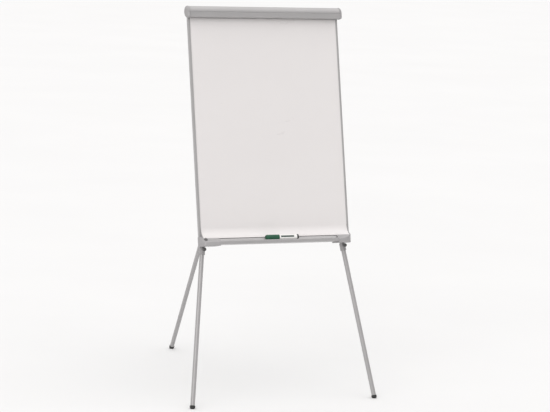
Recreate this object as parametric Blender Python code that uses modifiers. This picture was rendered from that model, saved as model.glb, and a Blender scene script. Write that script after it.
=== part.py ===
"""A tripod flipchart easel: a steel-faced board with a hinged paper clamp, a pen tray with a marker,
two front legs that splay behind the board and one folding rear leg, all three telescopic.

World axes: +X is the reader's right, -Y is the side that is written on, +Z is up, metres.
Board axes (the empty board_space): X as above, Y back from the board's rear face, Z up the board.
"""

from math import asin, atan2, cos, pi, radians, sin, sqrt, tan

import bmesh
import bpy
from mathutils import Vector

# Fits
GAP = 0.0003
RUNNING = 0.0001

# Stance
HALF_DEPTH = 0.608
LEG_LEAN = radians(15.85)
LEG_SPLAY = radians(8.3)
LEG_INSET = 0.0226
LEG_CLEARANCE = 0.0011
BOARD_LEAN = radians(13.0)
BOARD_HEIGHT = 0.6475

# Board
BOARD_HALF_WIDTH = 0.350
BOARD_LENGTH = 0.997
SHEET = 0.0007
BACK_SHEET = 0.0005
CORE = 0.0100
FRAME_WALL = 0.0012
FRAME_LIP = 0.0085
SWEEP_RADIUS = 0.055
SWEEP_ANGLE = radians(58)
SWEEP_LIFT = 0.00266

# Pen tray
TRAY_WALL = 0.0018
TRAY_HEIGHT = 0.0400
TRAY_UNDER = 0.0045
TRAY_LIP_TOP = 0.0195
TRAY_LIP_ROOM = 0.0057
GROOVE_DEPTH = 0.0020
COVE_RISE = 0.0117
COVE_SLOPE = radians(56.8)
COVE_TUCK = 0.0012
CAP_WIDTH = 0.0760
CAP_SIDE = 0.0015
CAP_FACET_BACK = 0.0040
CAP_RISE = 0.0045
CAP_CLEARANCE = 0.0012
CHEEK_WALL = 0.0027
LEFT_CORNER = (0.012, 0.012)
RIGHT_CORNER = (0.070, 0.050)
PLUG_RADIUS = 0.0078
PLUG_HEIGHT = 0.0065

# Paper clamp, with drops measured down from the board's top edge
CLAMP_WALL = 0.0020
CLAMP_RADIUS = 0.0235
PIVOT_RISE = 0.0045
PAD_HEIGHT = 0.0085
PAD_CLEARANCE = 0.0010
CLAMP_CAP_WIDTH = 0.0165
CLAMP_CAP_PROUD = 0.0012
ROD_RADIUS = 0.0020
KNUCKLE_RADIUS = 0.0042
KNUCKLE_CLEARANCE = 0.0008
KNUCKLE_INSET = 0.022
KNUCKLE_LENGTH = 0.028
TRACK_WALL = 0.0015
TRACK_DEPTH = 0.0086
TRACK_HEIGHT = 0.0180
TRACK_DROP = 0.0100
TRACK_SLOT = 0.0084
HOOK_HALF_SPREAD = 0.185
HOOK_LENGTH = 0.030
PEG_RADIUS = 0.0035
PEG_REACH = 0.0125
SPRING_WIRE = 0.0008
SPRING_TURNS = 5
SPRING_PITCH = 0.0034

# Legs
UPPER_RADIUS = 0.0110
UPPER_WALL = 0.0012
LOWER_WALL = 0.0010
COLLAR_WALL = 0.0017
COLLAR_LENGTH = 0.0300
COLLAR_DROP = 0.0030
LOWER_OVERLAP = 0.380
KNOB_RADIUS = 0.0082
KNOB_LENGTH = 0.0110
KNOB_DROP = 0.0095
STUD_RADIUS = 0.0025
BOSS_RADIUS = 0.0055
BOSS_LENGTH = 0.0035
FOOT_PROUD = 0.0020
FOOT_BALL_HEIGHT = 0.0080
FOOT_SHOULDER = 0.0050
FOOT_STEM = 0.030

# Head rail and rear hinge
RAIL_DROP = 0.147
RAIL_WEB = 0.044
RAIL_FLANGE = 0.020
RAIL_WALL = 0.0020
RAIL_END = 0.031
UPPER_ABOVE_RAIL = 0.080
SADDLE_WALL = 0.0035
SADDLE_HALF_WIDTH = 0.0200
SADDLE_HALF_HEIGHT = 0.0150
LOW_SADDLE_HEIGHT = 0.115
PIVOT_BACK = 0.020
PIN_RADIUS = 0.0030
CLEVIS_WALL = 0.0025
CLEVIS_MARGIN = 0.0043
REAR_UPPER_LENGTH = 0.930
SCREW_HEAD_RADIUS = 0.0048
SCREW_HEAD = 0.0022

# Marker
MARKER_LENGTH = 0.150
MARKER_RADIUS = 0.0108
MARKER_LEFT = -0.062
CAP_WALL = 0.0012
CAP_LENGTH = 0.060
END_PLUG = 0.008

ROUND_STEPS = 20
SMALL_STEPS = 16

# Depths in board axes that follow from the values above
CORE_BACK = -BACK_SHEET - GAP
CORE_FRONT = CORE_BACK - CORE
SHEET_BACK = CORE_FRONT - GAP
SHEET_MIDDLE = SHEET_BACK - SHEET / 2
FACE = SHEET_BACK - SHEET
FRAME_FRONT = FACE - GAP - FRAME_WALL
FRAME_BACK = GAP + FRAME_WALL
PANEL_HALF_WIDTH = BOARD_HALF_WIDTH - FRAME_WALL - GAP
SWEEP_HALF_WIDTH = BOARD_HALF_WIDTH - FRAME_LIP - GAP
TRACK_BACK = FRAME_FRONT - GAP
TRACK_FRONT = TRACK_BACK - TRACK_DEPTH
TRACK_TOP = BOARD_LENGTH - TRACK_DROP
TRACK_BOTTOM = TRACK_TOP - TRACK_HEIGHT
PAD_TOP = TRACK_BOTTOM - PAD_CLEARANCE
CLAMP_BOTTOM = PAD_TOP - PAD_HEIGHT
CLAMP_PIVOT = (TRACK_BACK - 0.0052, BOARD_LENGTH + PIVOT_RISE)
CLAMP_CENTRE = (
    CLAMP_PIVOT[0],
    CLAMP_PIVOT[1] - (CLAMP_RADIUS - CLAMP_WALL - KNUCKLE_RADIUS - KNUCKLE_CLEARANCE),
)
KNUCKLE_END = BOARD_HALF_WIDTH - KNUCKLE_INSET
RAIL_HEIGHT = BOARD_LENGTH - RAIL_DROP

# The tray's groove, with the cove behind it that meets the writing surface's lower edge
TRAY_END = BOARD_HALF_WIDTH + CAP_SIDE - CAP_WIDTH
GROOVE_FLOOR = TRAY_LIP_TOP - GROOVE_DEPTH
COVE_TOP = GROOVE_FLOOR + COVE_RISE
SWEEP_START = COVE_TOP + SWEEP_LIFT + SWEEP_RADIUS * sin(SWEEP_ANGLE)
SWEEP_END = SHEET_MIDDLE - SWEEP_RADIUS * (1 - cos(SWEEP_ANGLE))
COVE_FOOT = SWEEP_END + COVE_TUCK - (COVE_RISE + TRAY_WALL / 2) / tan(COVE_SLOPE)

# The marker lies in the corner of the groove and the cove, and the lip stands clear of it
MARKER_FIT = MARKER_RADIUS + GAP
MARKER_Y = (
    COVE_FOOT - TRAY_WALL / 2 * tan(COVE_SLOPE / 2) - MARKER_FIT / tan((pi - COVE_SLOPE) / 2)
)
MARKER_Z = GROOVE_FLOOR + MARKER_FIT
MARKER_CHORD = sqrt(2 * MARKER_FIT * GROOVE_DEPTH - GROOVE_DEPTH ** 2)
TRAY_FRONT = MARKER_Y - MARKER_CHORD - TRAY_LIP_ROOM

# Leg sizes and places that follow
UPPER_BORE = UPPER_RADIUS - UPPER_WALL
LOWER_RADIUS = UPPER_BORE - GAP
COLLAR_RADIUS = UPPER_RADIUS + GAP + COLLAR_WALL
BOSS_REACH = COLLAR_RADIUS + BOSS_LENGTH
FOOT_RADIUS = LOWER_RADIUS + FOOT_PROUD
BALL_OFFSET = HALF_DEPTH - FOOT_RADIUS
LEAN_DIFFERENCE = LEG_LEAN - BOARD_LEAN
LEG_STANDOFF = UPPER_RADIUS + FRAME_BACK + LEG_CLEARANCE
BOARD_Y = (
    -BALL_OFFSET
    + (BOARD_HEIGHT - LEG_STANDOFF * sin(BOARD_LEAN) - FOOT_BALL_HEIGHT) * tan(LEG_LEAN)
    - LEG_STANDOFF * cos(BOARD_LEAN)
)


def clear_scene():
    for old in list(bpy.data.objects):
        bpy.data.objects.remove(old)


def collection(name):
    made = bpy.data.collections.new(name)
    bpy.context.scene.collection.children.link(made)
    return made


def empty(name, location, rotation=(0, 0, 0), parent=None):
    made = bpy.data.objects.new(name, None)
    made.empty_display_size = 0.03
    made.location = location
    made.rotation_euler = rotation
    made.parent = parent
    EASEL.objects.link(made)
    return made


def material(name, colour, roughness, metallic=0.0):
    made = bpy.data.materials.new(name)
    made.use_nodes = True
    shader = made.node_tree.nodes["Principled BSDF"]
    shader.inputs["Base Color"].default_value = (*colour, 1)
    shader.inputs["Roughness"].default_value = roughness
    shader.inputs["Metallic"].default_value = metallic
    return made


def place(obj, finish, parent):
    """Puts a new object in the easel, under its parent empty."""
    obj.parent = parent
    obj.data.materials.append(finish)
    EASEL.objects.link(obj)
    return obj


def round_off(obj, width, segments=2):
    bevel = obj.modifiers.new("Bevel", "BEVEL")
    bevel.width = width
    bevel.segments = segments
    bevel.limit_method = "ANGLE"
    bevel.angle_limit = radians(50)
    return obj


def box_mesh(name, size):
    mesh = bpy.data.meshes.new(name)
    form = bmesh.new()
    bmesh.ops.create_cube(form, size=1.0)
    bmesh.ops.scale(form, vec=size, verts=form.verts)
    form.to_mesh(mesh)
    form.free()
    return mesh


def block(name, finish, parent, low, high):
    """A box between two corners, in its parent's axes."""
    low, high = Vector(low), Vector(high)
    obj = bpy.data.objects.new(name, box_mesh(name, high - low))
    obj.location = (low + high) / 2
    return place(obj, finish, parent)


def block_cutter(name, parent, low, high):
    low, high = Vector(low), Vector(high)
    obj = bpy.data.objects.new(name, box_mesh(name, high - low))
    return as_cutter(obj, parent, (low + high) / 2)


def extrusion(name, finish, parent, loops, start, end, along="X"):
    """A flat outline with straight sides. Its points are (Y, Z) along X, or (X, Y) along Z."""
    curve = bpy.data.curves.new(name, "CURVE")
    curve.dimensions = "2D"
    curve.fill_mode = "BOTH"
    curve.extrude = (end - start) / 2
    for loop in loops:
        spline = curve.splines.new("POLY")
        spline.points.add(len(loop) - 1)
        for point, (u, v) in zip(spline.points, loop):
            point.co = (u, v, 0, 1)
        spline.use_cyclic_u = True
    obj = bpy.data.objects.new(name, curve)
    middle = (start + end) / 2
    if along == "X":
        obj.location = (middle, 0, 0)
        obj.rotation_euler = (pi / 2, 0, pi / 2)
    else:
        obj.location = (0, 0, middle)
    return place(obj, finish, parent)


def as_mesh(obj):
    """The same object with a closed mesh in place of its curve, so that it can be cut."""
    bpy.context.view_layer.update()
    graph = bpy.context.evaluated_depsgraph_get()
    mesh = bpy.data.meshes.new_from_object(obj.evaluated_get(graph))
    form = bmesh.new()
    form.from_mesh(mesh)
    bmesh.ops.remove_doubles(form, verts=form.verts, dist=1e-6)
    bmesh.ops.recalc_face_normals(form, faces=form.faces)
    form.to_mesh(mesh)
    form.free()
    name, parent, world = obj.name, obj.parent, obj.matrix_world.copy()
    bpy.data.objects.remove(obj)
    made = bpy.data.objects.new(name, mesh)
    made.parent = parent
    made.matrix_world = world
    EASEL.objects.link(made)
    return made


def folded_sheet(name, finish, parent, line, start, end, thickness):
    """A bent sheet: a line of (Y, Z) points drawn out along X, with the line in mid-thickness."""
    mesh = bpy.data.meshes.new(name)
    form = bmesh.new()
    points = [form.verts.new((start, y, z)) for y, z in line]
    edges = [form.edges.new(pair) for pair in zip(points, points[1:])]
    drawn = bmesh.ops.extrude_edge_only(form, edges=edges)["geom"]
    moved = [item for item in drawn if isinstance(item, bmesh.types.BMVert)]
    bmesh.ops.translate(form, vec=(end - start, 0, 0), verts=moved)
    bmesh.ops.recalc_face_normals(form, faces=form.faces)
    form.to_mesh(mesh)
    form.free()
    obj = place(bpy.data.objects.new(name, mesh), finish, parent)
    wall = obj.modifiers.new("Solidify", "SOLIDIFY")
    wall.thickness = thickness
    wall.offset = 0
    wall.use_even_offset = True
    return obj


def turned(name, finish, parent, profile, location=(0, 0, 0), rotation=(0, 0, 0),
           closed=False, steps=ROUND_STEPS):
    """A turned shape about its local Z. The (radius, Z) profile runs down its outer side."""
    mesh = bpy.data.meshes.new(name)
    form = bmesh.new()
    points = [form.verts.new((r, 0, z)) for r, z in profile]
    for pair in zip(points, points[1:]):
        form.edges.new(pair)
    if closed:
        form.edges.new((points[-1], points[0]))
    form.to_mesh(mesh)
    form.free()
    obj = bpy.data.objects.new(name, mesh)
    obj.location = location
    obj.rotation_euler = rotation
    place(obj, finish, parent)
    screw = obj.modifiers.new("Screw", "SCREW")
    screw.axis = "Z"
    screw.angle = 2 * pi
    screw.steps = steps
    screw.render_steps = steps
    screw.use_merge_vertices = True
    screw.merge_threshold = 1e-5
    screw.use_smooth_shade = True
    return obj


def tube(name, finish, parent, outer, inner, low, high):
    ring = [(outer, high), (outer, low), (inner, low), (inner, high)]
    return turned(name, finish, parent, ring, closed=True)


def arc(centre, radius, start, end, count):
    """Points on an arc, with angles in degrees from the first axis towards the second."""
    steps = [radians(start + (end - start) * i / count) for i in range(count + 1)]
    return [(centre[0] + radius * cos(a), centre[1] + radius * sin(a)) for a in steps]


def cylinder_cutter(name, parent, radius, length, location, rotation=(0, 0, 0)):
    mesh = bpy.data.meshes.new(name)
    form = bmesh.new()
    bmesh.ops.create_cone(
        form, cap_ends=True, segments=ROUND_STEPS, radius1=radius, radius2=radius, depth=length
    )
    form.to_mesh(mesh)
    form.free()
    return as_cutter(bpy.data.objects.new(name, mesh), parent, location, rotation)


def as_cutter(obj, parent, location, rotation=(0, 0, 0)):
    obj.parent = parent
    obj.location = location
    obj.rotation_euler = rotation
    obj.hide_render = True
    obj.display_type = "WIRE"
    CUTTERS.objects.link(obj)
    return obj


def as_helper(obj):
    """Moves an object that another one is joined to out of the easel."""
    EASEL.objects.unlink(obj)
    CUTTERS.objects.link(obj)
    obj.hide_render = True
    obj.display_type = "WIRE"
    return obj


def boolean(obj, other, operation="DIFFERENCE"):
    change = obj.modifiers.new(operation.title(), "BOOLEAN")
    change.object = other
    change.operation = operation
    change.solver = "EXACT"
    return obj


def plane_height(board_z):
    """Distance up the leg plane of the point that is level with board_z on the board."""
    start = (-BALL_OFFSET - BOARD_Y) * sin(BOARD_LEAN)
    start += (FOOT_BALL_HEIGHT - BOARD_HEIGHT) * cos(BOARD_LEAN)
    return (board_z - start) / cos(LEAN_DIFFERENCE)


def leg_distance(board_z):
    """The same point as a distance along a front leg from its foot."""
    return plane_height(board_z) / cos(LEG_SPLAY)


def leg_x(board_z):
    """Half the distance between the front legs' axes at board_z."""
    return BOARD_HALF_WIDTH - LEG_INSET + (plane_height(0) - plane_height(board_z)) * tan(LEG_SPLAY)


def leg_depth(board_z):
    """How far the legs' axes lie behind the board's rear face at board_z."""
    return LEG_STANDOFF + board_z * tan(LEAN_DIFFERENCE)


# The board


def sweep_line():
    """The writing surface in section: flat, then curving forward to the tray."""
    centre = (SHEET_MIDDLE - SWEEP_RADIUS, SWEEP_START)
    curve = arc(centre, SWEEP_RADIUS, 0, -SWEEP_ANGLE * 180 / pi, 8)
    return [(SHEET_MIDDLE, BOARD_LENGTH - FRAME_WALL - GAP)] + curve


def make_panel():
    top = BOARD_LENGTH - FRAME_WALL - GAP
    bottom = TRAY_HEIGHT + 3 * GAP
    half = PANEL_HALF_WIDTH
    sheet = folded_sheet("writing_surface", WHITE, board_space, sweep_line(), -half, half, SHEET)
    for side in (-1, 1):
        ends = sorted((side * SWEEP_HALF_WIDTH, side * (half + GAP)))
        trim = block_cutter(
            f"sheet_trim_{side}", board_space,
            (ends[0], SHEET_MIDDLE - SWEEP_RADIUS, 0), (ends[1], 0, SWEEP_START + GAP),
        )
        boolean(sheet, trim)
    block("board_core", FIBRE, board_space, (-half, CORE_FRONT, bottom), (half, CORE_BACK, top))
    block("back_sheet", ZINC, board_space, (-half, -BACK_SHEET, bottom), (half, 0, top))


def channel(wall_at, mouth_at):
    """A C section: (across, depth) points, closed at wall_at and open towards mouth_at."""
    inward = 1 if mouth_at > wall_at else -1
    inner = wall_at + inward * FRAME_WALL
    return [
        (wall_at, FRAME_FRONT),
        (wall_at, FRAME_BACK),
        (mouth_at, FRAME_BACK),
        (mouth_at, FRAME_BACK - FRAME_WALL),
        (inner, FRAME_BACK - FRAME_WALL),
        (inner, FRAME_FRONT + FRAME_WALL),
        (mouth_at, FRAME_FRONT + FRAME_WALL),
        (mouth_at, FRAME_FRONT),
    ]


def make_frame():
    """Three channels, whose front lips hold the edges of the panel."""
    bottom = TRAY_HEIGHT + 2 * GAP
    for side, name in ((-1, "frame_left"), (1, "frame_right")):
        wall = side * BOARD_HALF_WIDTH
        section = channel(wall, wall - side * FRAME_LIP)
        extrusion(name, GREY, board_space, [section], bottom, BOARD_LENGTH, along="Z")
    half = BOARD_HALF_WIDTH - FRAME_LIP - GAP
    section = [(y, z) for z, y in channel(BOARD_LENGTH, BOARD_LENGTH - FRAME_LIP)]
    extrusion("frame_top", GREY, board_space, [section], -half, half)


# The pen tray


def tray_line():
    """The tray in section, from the shelf under the board round to the top of the cove."""
    half = TRAY_WALL / 2
    back = FRAME_BACK - half
    floor = GROOVE_FLOOR - half
    front = TRAY_FRONT + half
    return [
        (FACE - 0.0080, TRAY_HEIGHT - half),
        (back, TRAY_HEIGHT - half),
        (back, TRAY_UNDER + half),
        (front + 0.0020, TRAY_UNDER + half),
        (front, TRAY_UNDER + half + 0.0020),
        (front, TRAY_LIP_TOP - 0.0020),
        (front + 0.0010, TRAY_LIP_TOP - half),
        (front + 0.0030, TRAY_LIP_TOP - half),
        (front + 0.0050, floor),
        (COVE_FOOT, floor),
        (SWEEP_END + COVE_TUCK, COVE_TOP),
    ]


def cap_slope():
    """The sloping facet on top of a tray cap, from its low front edge to its crest."""
    low = (TRAY_FRONT + 0.0030, TRAY_LIP_TOP - 0.0010)
    high = (SWEEP_END - CAP_FACET_BACK, COVE_TOP + CAP_RISE)
    return low, high


def tray_cap_outline():
    front = TRAY_FRONT - 0.0012
    low, high = cap_slope()
    centre = (SHEET_MIDDLE - SWEEP_RADIUS, SWEEP_START)
    under = SWEEP_RADIUS + SHEET / 2 + CAP_CLEARANCE
    shelf = -asin((SWEEP_START - TRAY_HEIGHT) / under) * 180 / pi
    return [
        (FRAME_BACK, -0.0006),
        (front + 0.0060, -0.0006),
        *arc((front + 0.0060, 0.0054), 0.0060, 270, 180, 3)[1:],
        (front, low[1] - 0.0030),
        low,
        high,
        (high[0] + 0.0004, COVE_TOP - 0.0010),
        *arc(centre, under, -SWEEP_ANGLE * 180 / pi, shelf, 4),
        (FRAME_BACK, TRAY_HEIGHT),
    ]


def cheek_outline():
    """The side plate of a tray cap, which closes the end of the curved writing surface."""
    centre = (SHEET_MIDDLE - SWEEP_RADIUS, SWEEP_START)
    back = FRAME_FRONT - GAP
    radius = SWEEP_RADIUS - (SHEET_MIDDLE - back) - RUNNING / 2
    low = cap_slope()[0]
    return [
        (back, TRAY_HEIGHT - 0.0100),
        (back, SWEEP_START),
        *arc(centre, radius, -3, -SWEEP_ANGLE * 180 / pi, 6),
        (SWEEP_END, TRAY_LIP_TOP),
    ]


def corner_cutter(name, side, corner):
    """What is cut from a tray cap to round its front corner in plan, by the corner's (X, Y) reach."""
    wide, deep = corner
    outer = TRAY_END + CAP_WIDTH
    front = TRAY_FRONT - 0.0012
    loop = [(side * (outer + GAP), front - GAP), (side * (outer - wide), front - GAP)]
    for k in range(13):
        turn = pi / 2 * k / 12
        loop.append((side * (outer - wide + wide * sin(turn)), front + deep * (1 - cos(turn))))
    loop.append((side * (outer + GAP), front + deep))
    cutter = extrusion(name, GREY_PLASTIC, board_space, [loop], -GAP - 0.001, TRAY_HEIGHT, along="Z")
    return as_helper(as_mesh(cutter))


def make_tray():
    folded_sheet("pen_tray", GREY, board_space, tray_line(), -TRAY_END, TRAY_END, TRAY_WALL)
    inner = TRAY_END + GAP
    outer = TRAY_END + CAP_WIDTH
    cheek_inner = SWEEP_HALF_WIDTH + GAP
    for side, name, corner in (
        (-1, "tray_cap_left", LEFT_CORNER),
        (1, "tray_cap_right", RIGHT_CORNER),
    ):
        ends = sorted((side * inner, side * outer))
        cap = extrusion(name, GREY_PLASTIC, board_space, [tray_cap_outline()], *ends)
        cap = as_mesh(cap)
        boolean(cap, corner_cutter(name + "_corner", side, corner))
        ends = sorted((side * cheek_inner, side * (cheek_inner + CHEEK_WALL)))
        cheek = extrusion(name + "_cheek", GREY_PLASTIC, board_space, [cheek_outline()], *ends)
        boolean(cap, as_helper(as_mesh(cheek)), "UNION")
    make_tray_plug(-outer + 0.0130)


def make_tray_plug(x):
    """A domed black plug on the left cap's sloping facet."""
    low, high = cap_slope()
    slope = atan2(high[1] - low[1], high[0] - low[0])
    middle = Vector((x, (low[0] + high[0]) / 2, (low[1] + high[1]) / 2))
    lift = Vector((0, -sin(slope), cos(slope))) * GAP
    dome = [
        (0, PLUG_HEIGHT),
        (PLUG_RADIUS * 0.55, PLUG_HEIGHT * 0.93),
        (PLUG_RADIUS * 0.88, PLUG_HEIGHT * 0.62),
        (PLUG_RADIUS, PLUG_HEIGHT * 0.20),
        (PLUG_RADIUS, 0),
        (0, 0),
    ]
    turned("tray_plug", BLACK_PLASTIC, board_space, dome, middle + lift, (slope, 0, 0),
           steps=SMALL_STEPS)


# The paper clamp


def clamp_line(grow=0.0):
    """The clamp bar in section, from its rear top edge over the front to the lip at the bottom."""
    radius = CLAMP_RADIUS + grow
    front = CLAMP_CENTRE[0] - radius
    bottom = CLAMP_BOTTOM - grow
    return [
        *arc(CLAMP_CENTRE, radius, 78, 180, 9),
        (front, CLAMP_CENTRE[1] - 0.0014),
        (front + 0.0012, CLAMP_CENTRE[1] - 0.0024),
        (front + 0.0012, CLAMP_CENTRE[1] - 0.0044),
        (front, CLAMP_CENTRE[1] - 0.0054),
        (front + 0.0006, bottom + 0.0090),
        *arc((front + 0.0086, bottom + 0.0080), 0.0080, 190, 262, 4),
    ]


def make_clamp_bar():
    half = BOARD_HALF_WIDTH
    centred = -CLAMP_WALL / 2
    line = clamp_line(centred)
    lip = (FACE - GAP - 0.0085, CLAMP_BOTTOM - centred)
    folded_sheet("clamp_bar", GREY, clamp_space, shifted(line + [lip]), -half, half, CLAMP_WALL)
    grown = clamp_line(CLAMP_CAP_PROUD)
    back = [
        (TRACK_BACK - 0.0040, CLAMP_BOTTOM - CLAMP_CAP_PROUD),
        (TRACK_BACK - 0.0028, CLAMP_BOTTOM + 0.0020),
        (TRACK_BACK - 0.0012, TRACK_TOP),
        (TRACK_BACK + 0.0010, TRACK_TOP + 0.0140),
    ]
    inner = half + GAP
    outer = half + CLAMP_CAP_WIDTH
    for side, name in ((-1, "clamp_cap_left"), (1, "clamp_cap_right")):
        ends = sorted((side * inner, side * outer))
        cap = extrusion(name, GREY_PLASTIC, clamp_space, [shifted(grown + back)], *ends)
        cap = as_mesh(cap)
        bore = cylinder_cutter(
            name + "_bore", clamp_space, ROD_RADIUS + RUNNING, 0.024, (side * half, 0, 0), (0, pi / 2, 0)
        )
        boolean(cap, bore)
        round_off(cap, 0.0012)
    pad_half = half - FRAME_LIP - 0.002
    block(
        "clamp_pad", RUBBER, clamp_space,
        (-pad_half, *shifted([(lip[0] + GAP, CLAMP_BOTTOM)])[0]),
        (pad_half, *shifted([(FACE - GAP, PAD_TOP)])[0]),
    )


def shifted(points):
    """Board (Y, Z) points in the clamp's own axes, which start at its pivot."""
    return [(y - CLAMP_PIVOT[0], z - CLAMP_PIVOT[1]) for y, z in points]


def make_clamp_track():
    lip_low = (TRACK_BOTTOM + TRACK_TOP - TRACK_SLOT) / 2
    lip_high = lip_low + TRACK_SLOT
    wall = TRACK_WALL
    section = [
        (TRACK_BACK, TRACK_BOTTOM),
        (TRACK_BACK, TRACK_TOP),
        (TRACK_FRONT, TRACK_TOP),
        (TRACK_FRONT, lip_high),
        (TRACK_FRONT + wall, lip_high),
        (TRACK_FRONT + wall, TRACK_TOP - wall),
        (TRACK_BACK - wall, TRACK_TOP - wall),
        (TRACK_BACK - wall, TRACK_BOTTOM + wall),
        (TRACK_FRONT + wall, TRACK_BOTTOM + wall),
        (TRACK_FRONT + wall, lip_low),
        (TRACK_FRONT, lip_low),
        (TRACK_FRONT, TRACK_BOTTOM),
    ]
    half = BOARD_HALF_WIDTH - 0.004
    extrusion("clamp_track", ALUMINIUM, board_space, [section], -half, half)


def make_clamp_hinge():
    rod_half = BOARD_HALF_WIDTH + 0.010
    rod = [(0, rod_half), (ROD_RADIUS, rod_half), (ROD_RADIUS, -rod_half), (0, -rod_half)]
    turned("clamp_rod", STEEL, clamp_space, rod, rotation=(0, pi / 2, 0), steps=SMALL_STEPS)
    outline = [
        (TRACK_BACK - GAP, TRACK_TOP + GAP),
        *arc(CLAMP_PIVOT, KNUCKLE_RADIUS, 0, 180, 8),
        (TRACK_FRONT, TRACK_TOP + GAP),
    ]
    eye = arc(CLAMP_PIVOT, ROD_RADIUS + RUNNING, 0, 345, 23)
    for side, name in ((-1, "clamp_knuckle_left"), (1, "clamp_knuckle_right")):
        ends = sorted((side * (KNUCKLE_END - KNUCKLE_LENGTH), side * KNUCKLE_END))
        extrusion(name, STEEL, board_space, [outline, eye], *ends)
        make_spring(name.replace("knuckle", "spring"), side * (KNUCKLE_END - KNUCKLE_LENGTH - 0.002))


def make_spring(name, start):
    """A torsion spring on the hinge rod, wound in from its knuckle."""
    radius = ROD_RADIUS + SPRING_WIRE + RUNNING * 4
    side = 1 if start > 0 else -1
    count = SPRING_TURNS * 10
    curve = bpy.data.curves.new(name, "CURVE")
    curve.dimensions = "3D"
    curve.bevel_depth = SPRING_WIRE
    curve.bevel_resolution = 1
    curve.use_fill_caps = True
    spline = curve.splines.new("POLY")
    spline.points.add(count)
    for i, point in enumerate(spline.points):
        turn = 2 * pi * i / 10
        along = start - side * (SPRING_WIRE + SPRING_PITCH * i / 10)
        point.co = (along, radius * cos(turn), radius * sin(turn), 1)
    place(bpy.data.objects.new(name, curve), STEEL, clamp_space)


def make_hooks():
    """Two hooks that slide along the track, each a plastic slider with a peg."""
    low = TRACK_BOTTOM + TRACK_WALL + GAP
    high = TRACK_TOP - TRACK_WALL - GAP
    back = TRACK_BACK - TRACK_WALL - GAP
    front = TRACK_FRONT + TRACK_WALL + GAP
    for side, name in ((-1, "paper_hook_left"), (1, "paper_hook_right")):
        half = HOOK_LENGTH / 2
        slider = block(name, BLACK_PLASTIC, board_space, (-half, front, low), (half, back, high))
        slider.location.x = side * HOOK_HALF_SPREAD
        peg_length = -TRACK_FRONT + PEG_REACH + back
        middle = (slider.location.x, back - peg_length / 2 - 0.001, (low + high) / 2)
        peg = cylinder_cutter(name + "_peg", board_space, PEG_RADIUS, peg_length, middle, (pi / 2, 0, 0))
        boolean(slider, peg, "UNION")


# The legs


def make_front_leg(side, name):
    """One front leg, from its foot up: lower tube, collar with its knob, upper tube and cap."""
    foot_x = leg_x(0) + plane_height(0) * tan(LEG_SPLAY)
    frame = empty("leg_axis_" + name, (side * foot_x, 0, 0), (0, -side * LEG_SPLAY, 0), leg_plane)
    collar_top = leg_distance(-COLLAR_DROP)
    low = collar_top - COLLAR_LENGTH + 0.003
    high = leg_distance(RAIL_HEIGHT + UPPER_ABOVE_RAIL)
    upper = tube("upper_tube_" + name, GREY, frame, UPPER_RADIUS, UPPER_BORE, low, high)
    make_collar(frame, name, collar_top, upper, facing=-1)
    make_lower_leg(frame, name, low + LOWER_OVERLAP)
    cap = [
        (0, high + 0.0060),
        (UPPER_RADIUS - 0.0015, high + 0.0060),
        (UPPER_RADIUS, high + 0.0045),
        (UPPER_RADIUS, high + GAP),
        (UPPER_BORE - GAP, high + GAP),
        (UPPER_BORE - GAP, high - 0.018),
        (0, high - 0.018),
    ]
    turned("upper_cap_" + name, BLACK_PLASTIC, frame, cap)
    return frame


def make_collar(frame, name, top, upper, facing):
    """The threaded collar on an upper tube's end, and the knob that clamps the lower tube."""
    low = top - COLLAR_LENGTH
    end = low + 0.003
    ring = [
        (COLLAR_RADIUS - 0.0010, top),
        (COLLAR_RADIUS, top - 0.0010),
        (COLLAR_RADIUS, low + 0.0010),
        (COLLAR_RADIUS - 0.0010, low),
        (LOWER_RADIUS + GAP, low),
        (LOWER_RADIUS + GAP, end - GAP),
        (UPPER_RADIUS + GAP, end - GAP),
        (UPPER_RADIUS + GAP, top),
    ]
    collar = turned("collar_" + name, GREY_PLASTIC, frame, ring, closed=True)
    knob_z = top - KNOB_DROP
    across = (facing * -pi / 2, 0, 0)
    boss_length = BOSS_REACH - UPPER_RADIUS - 0.0010
    boss_middle = facing * (UPPER_RADIUS + 0.0010 + boss_length / 2)
    boss = cylinder_cutter(
        "boss_" + name, frame, BOSS_RADIUS, boss_length, (0, boss_middle, knob_z), across
    )
    boolean(collar, boss, "UNION")
    hole = cylinder_cutter(
        "stud_hole_" + name, frame, STUD_RADIUS + GAP, 0.020,
        (0, facing * (UPPER_BORE + 0.0084), knob_z), across,
    )
    boolean(collar, hole)
    boolean(upper, hole)
    make_knob(frame, name, knob_z, facing, across)


def make_knob(frame, name, knob_z, facing, across):
    """A round thumb knob with its steel stud, which reaches to the lower tube."""
    tip = LOWER_RADIUS + GAP
    face = BOSS_REACH + GAP
    outer = face + KNOB_LENGTH
    space = empty("knob_axis_" + name, (0, 0, knob_z), across, frame)
    profile = [
        (0, outer),
        (KNOB_RADIUS * 0.70, outer),
        (KNOB_RADIUS * 0.92, outer - 0.0008),
        (KNOB_RADIUS, outer - 0.0022),
        (KNOB_RADIUS, face + 0.0020),
        (KNOB_RADIUS * 0.80, face),
        (STUD_RADIUS, face),
        (STUD_RADIUS, tip + 0.0006),
        (STUD_RADIUS - 0.0006, tip),
        (0, tip),
    ]
    turned("knob_" + name, BLACK_PLASTIC, space, profile, steps=SMALL_STEPS)


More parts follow.
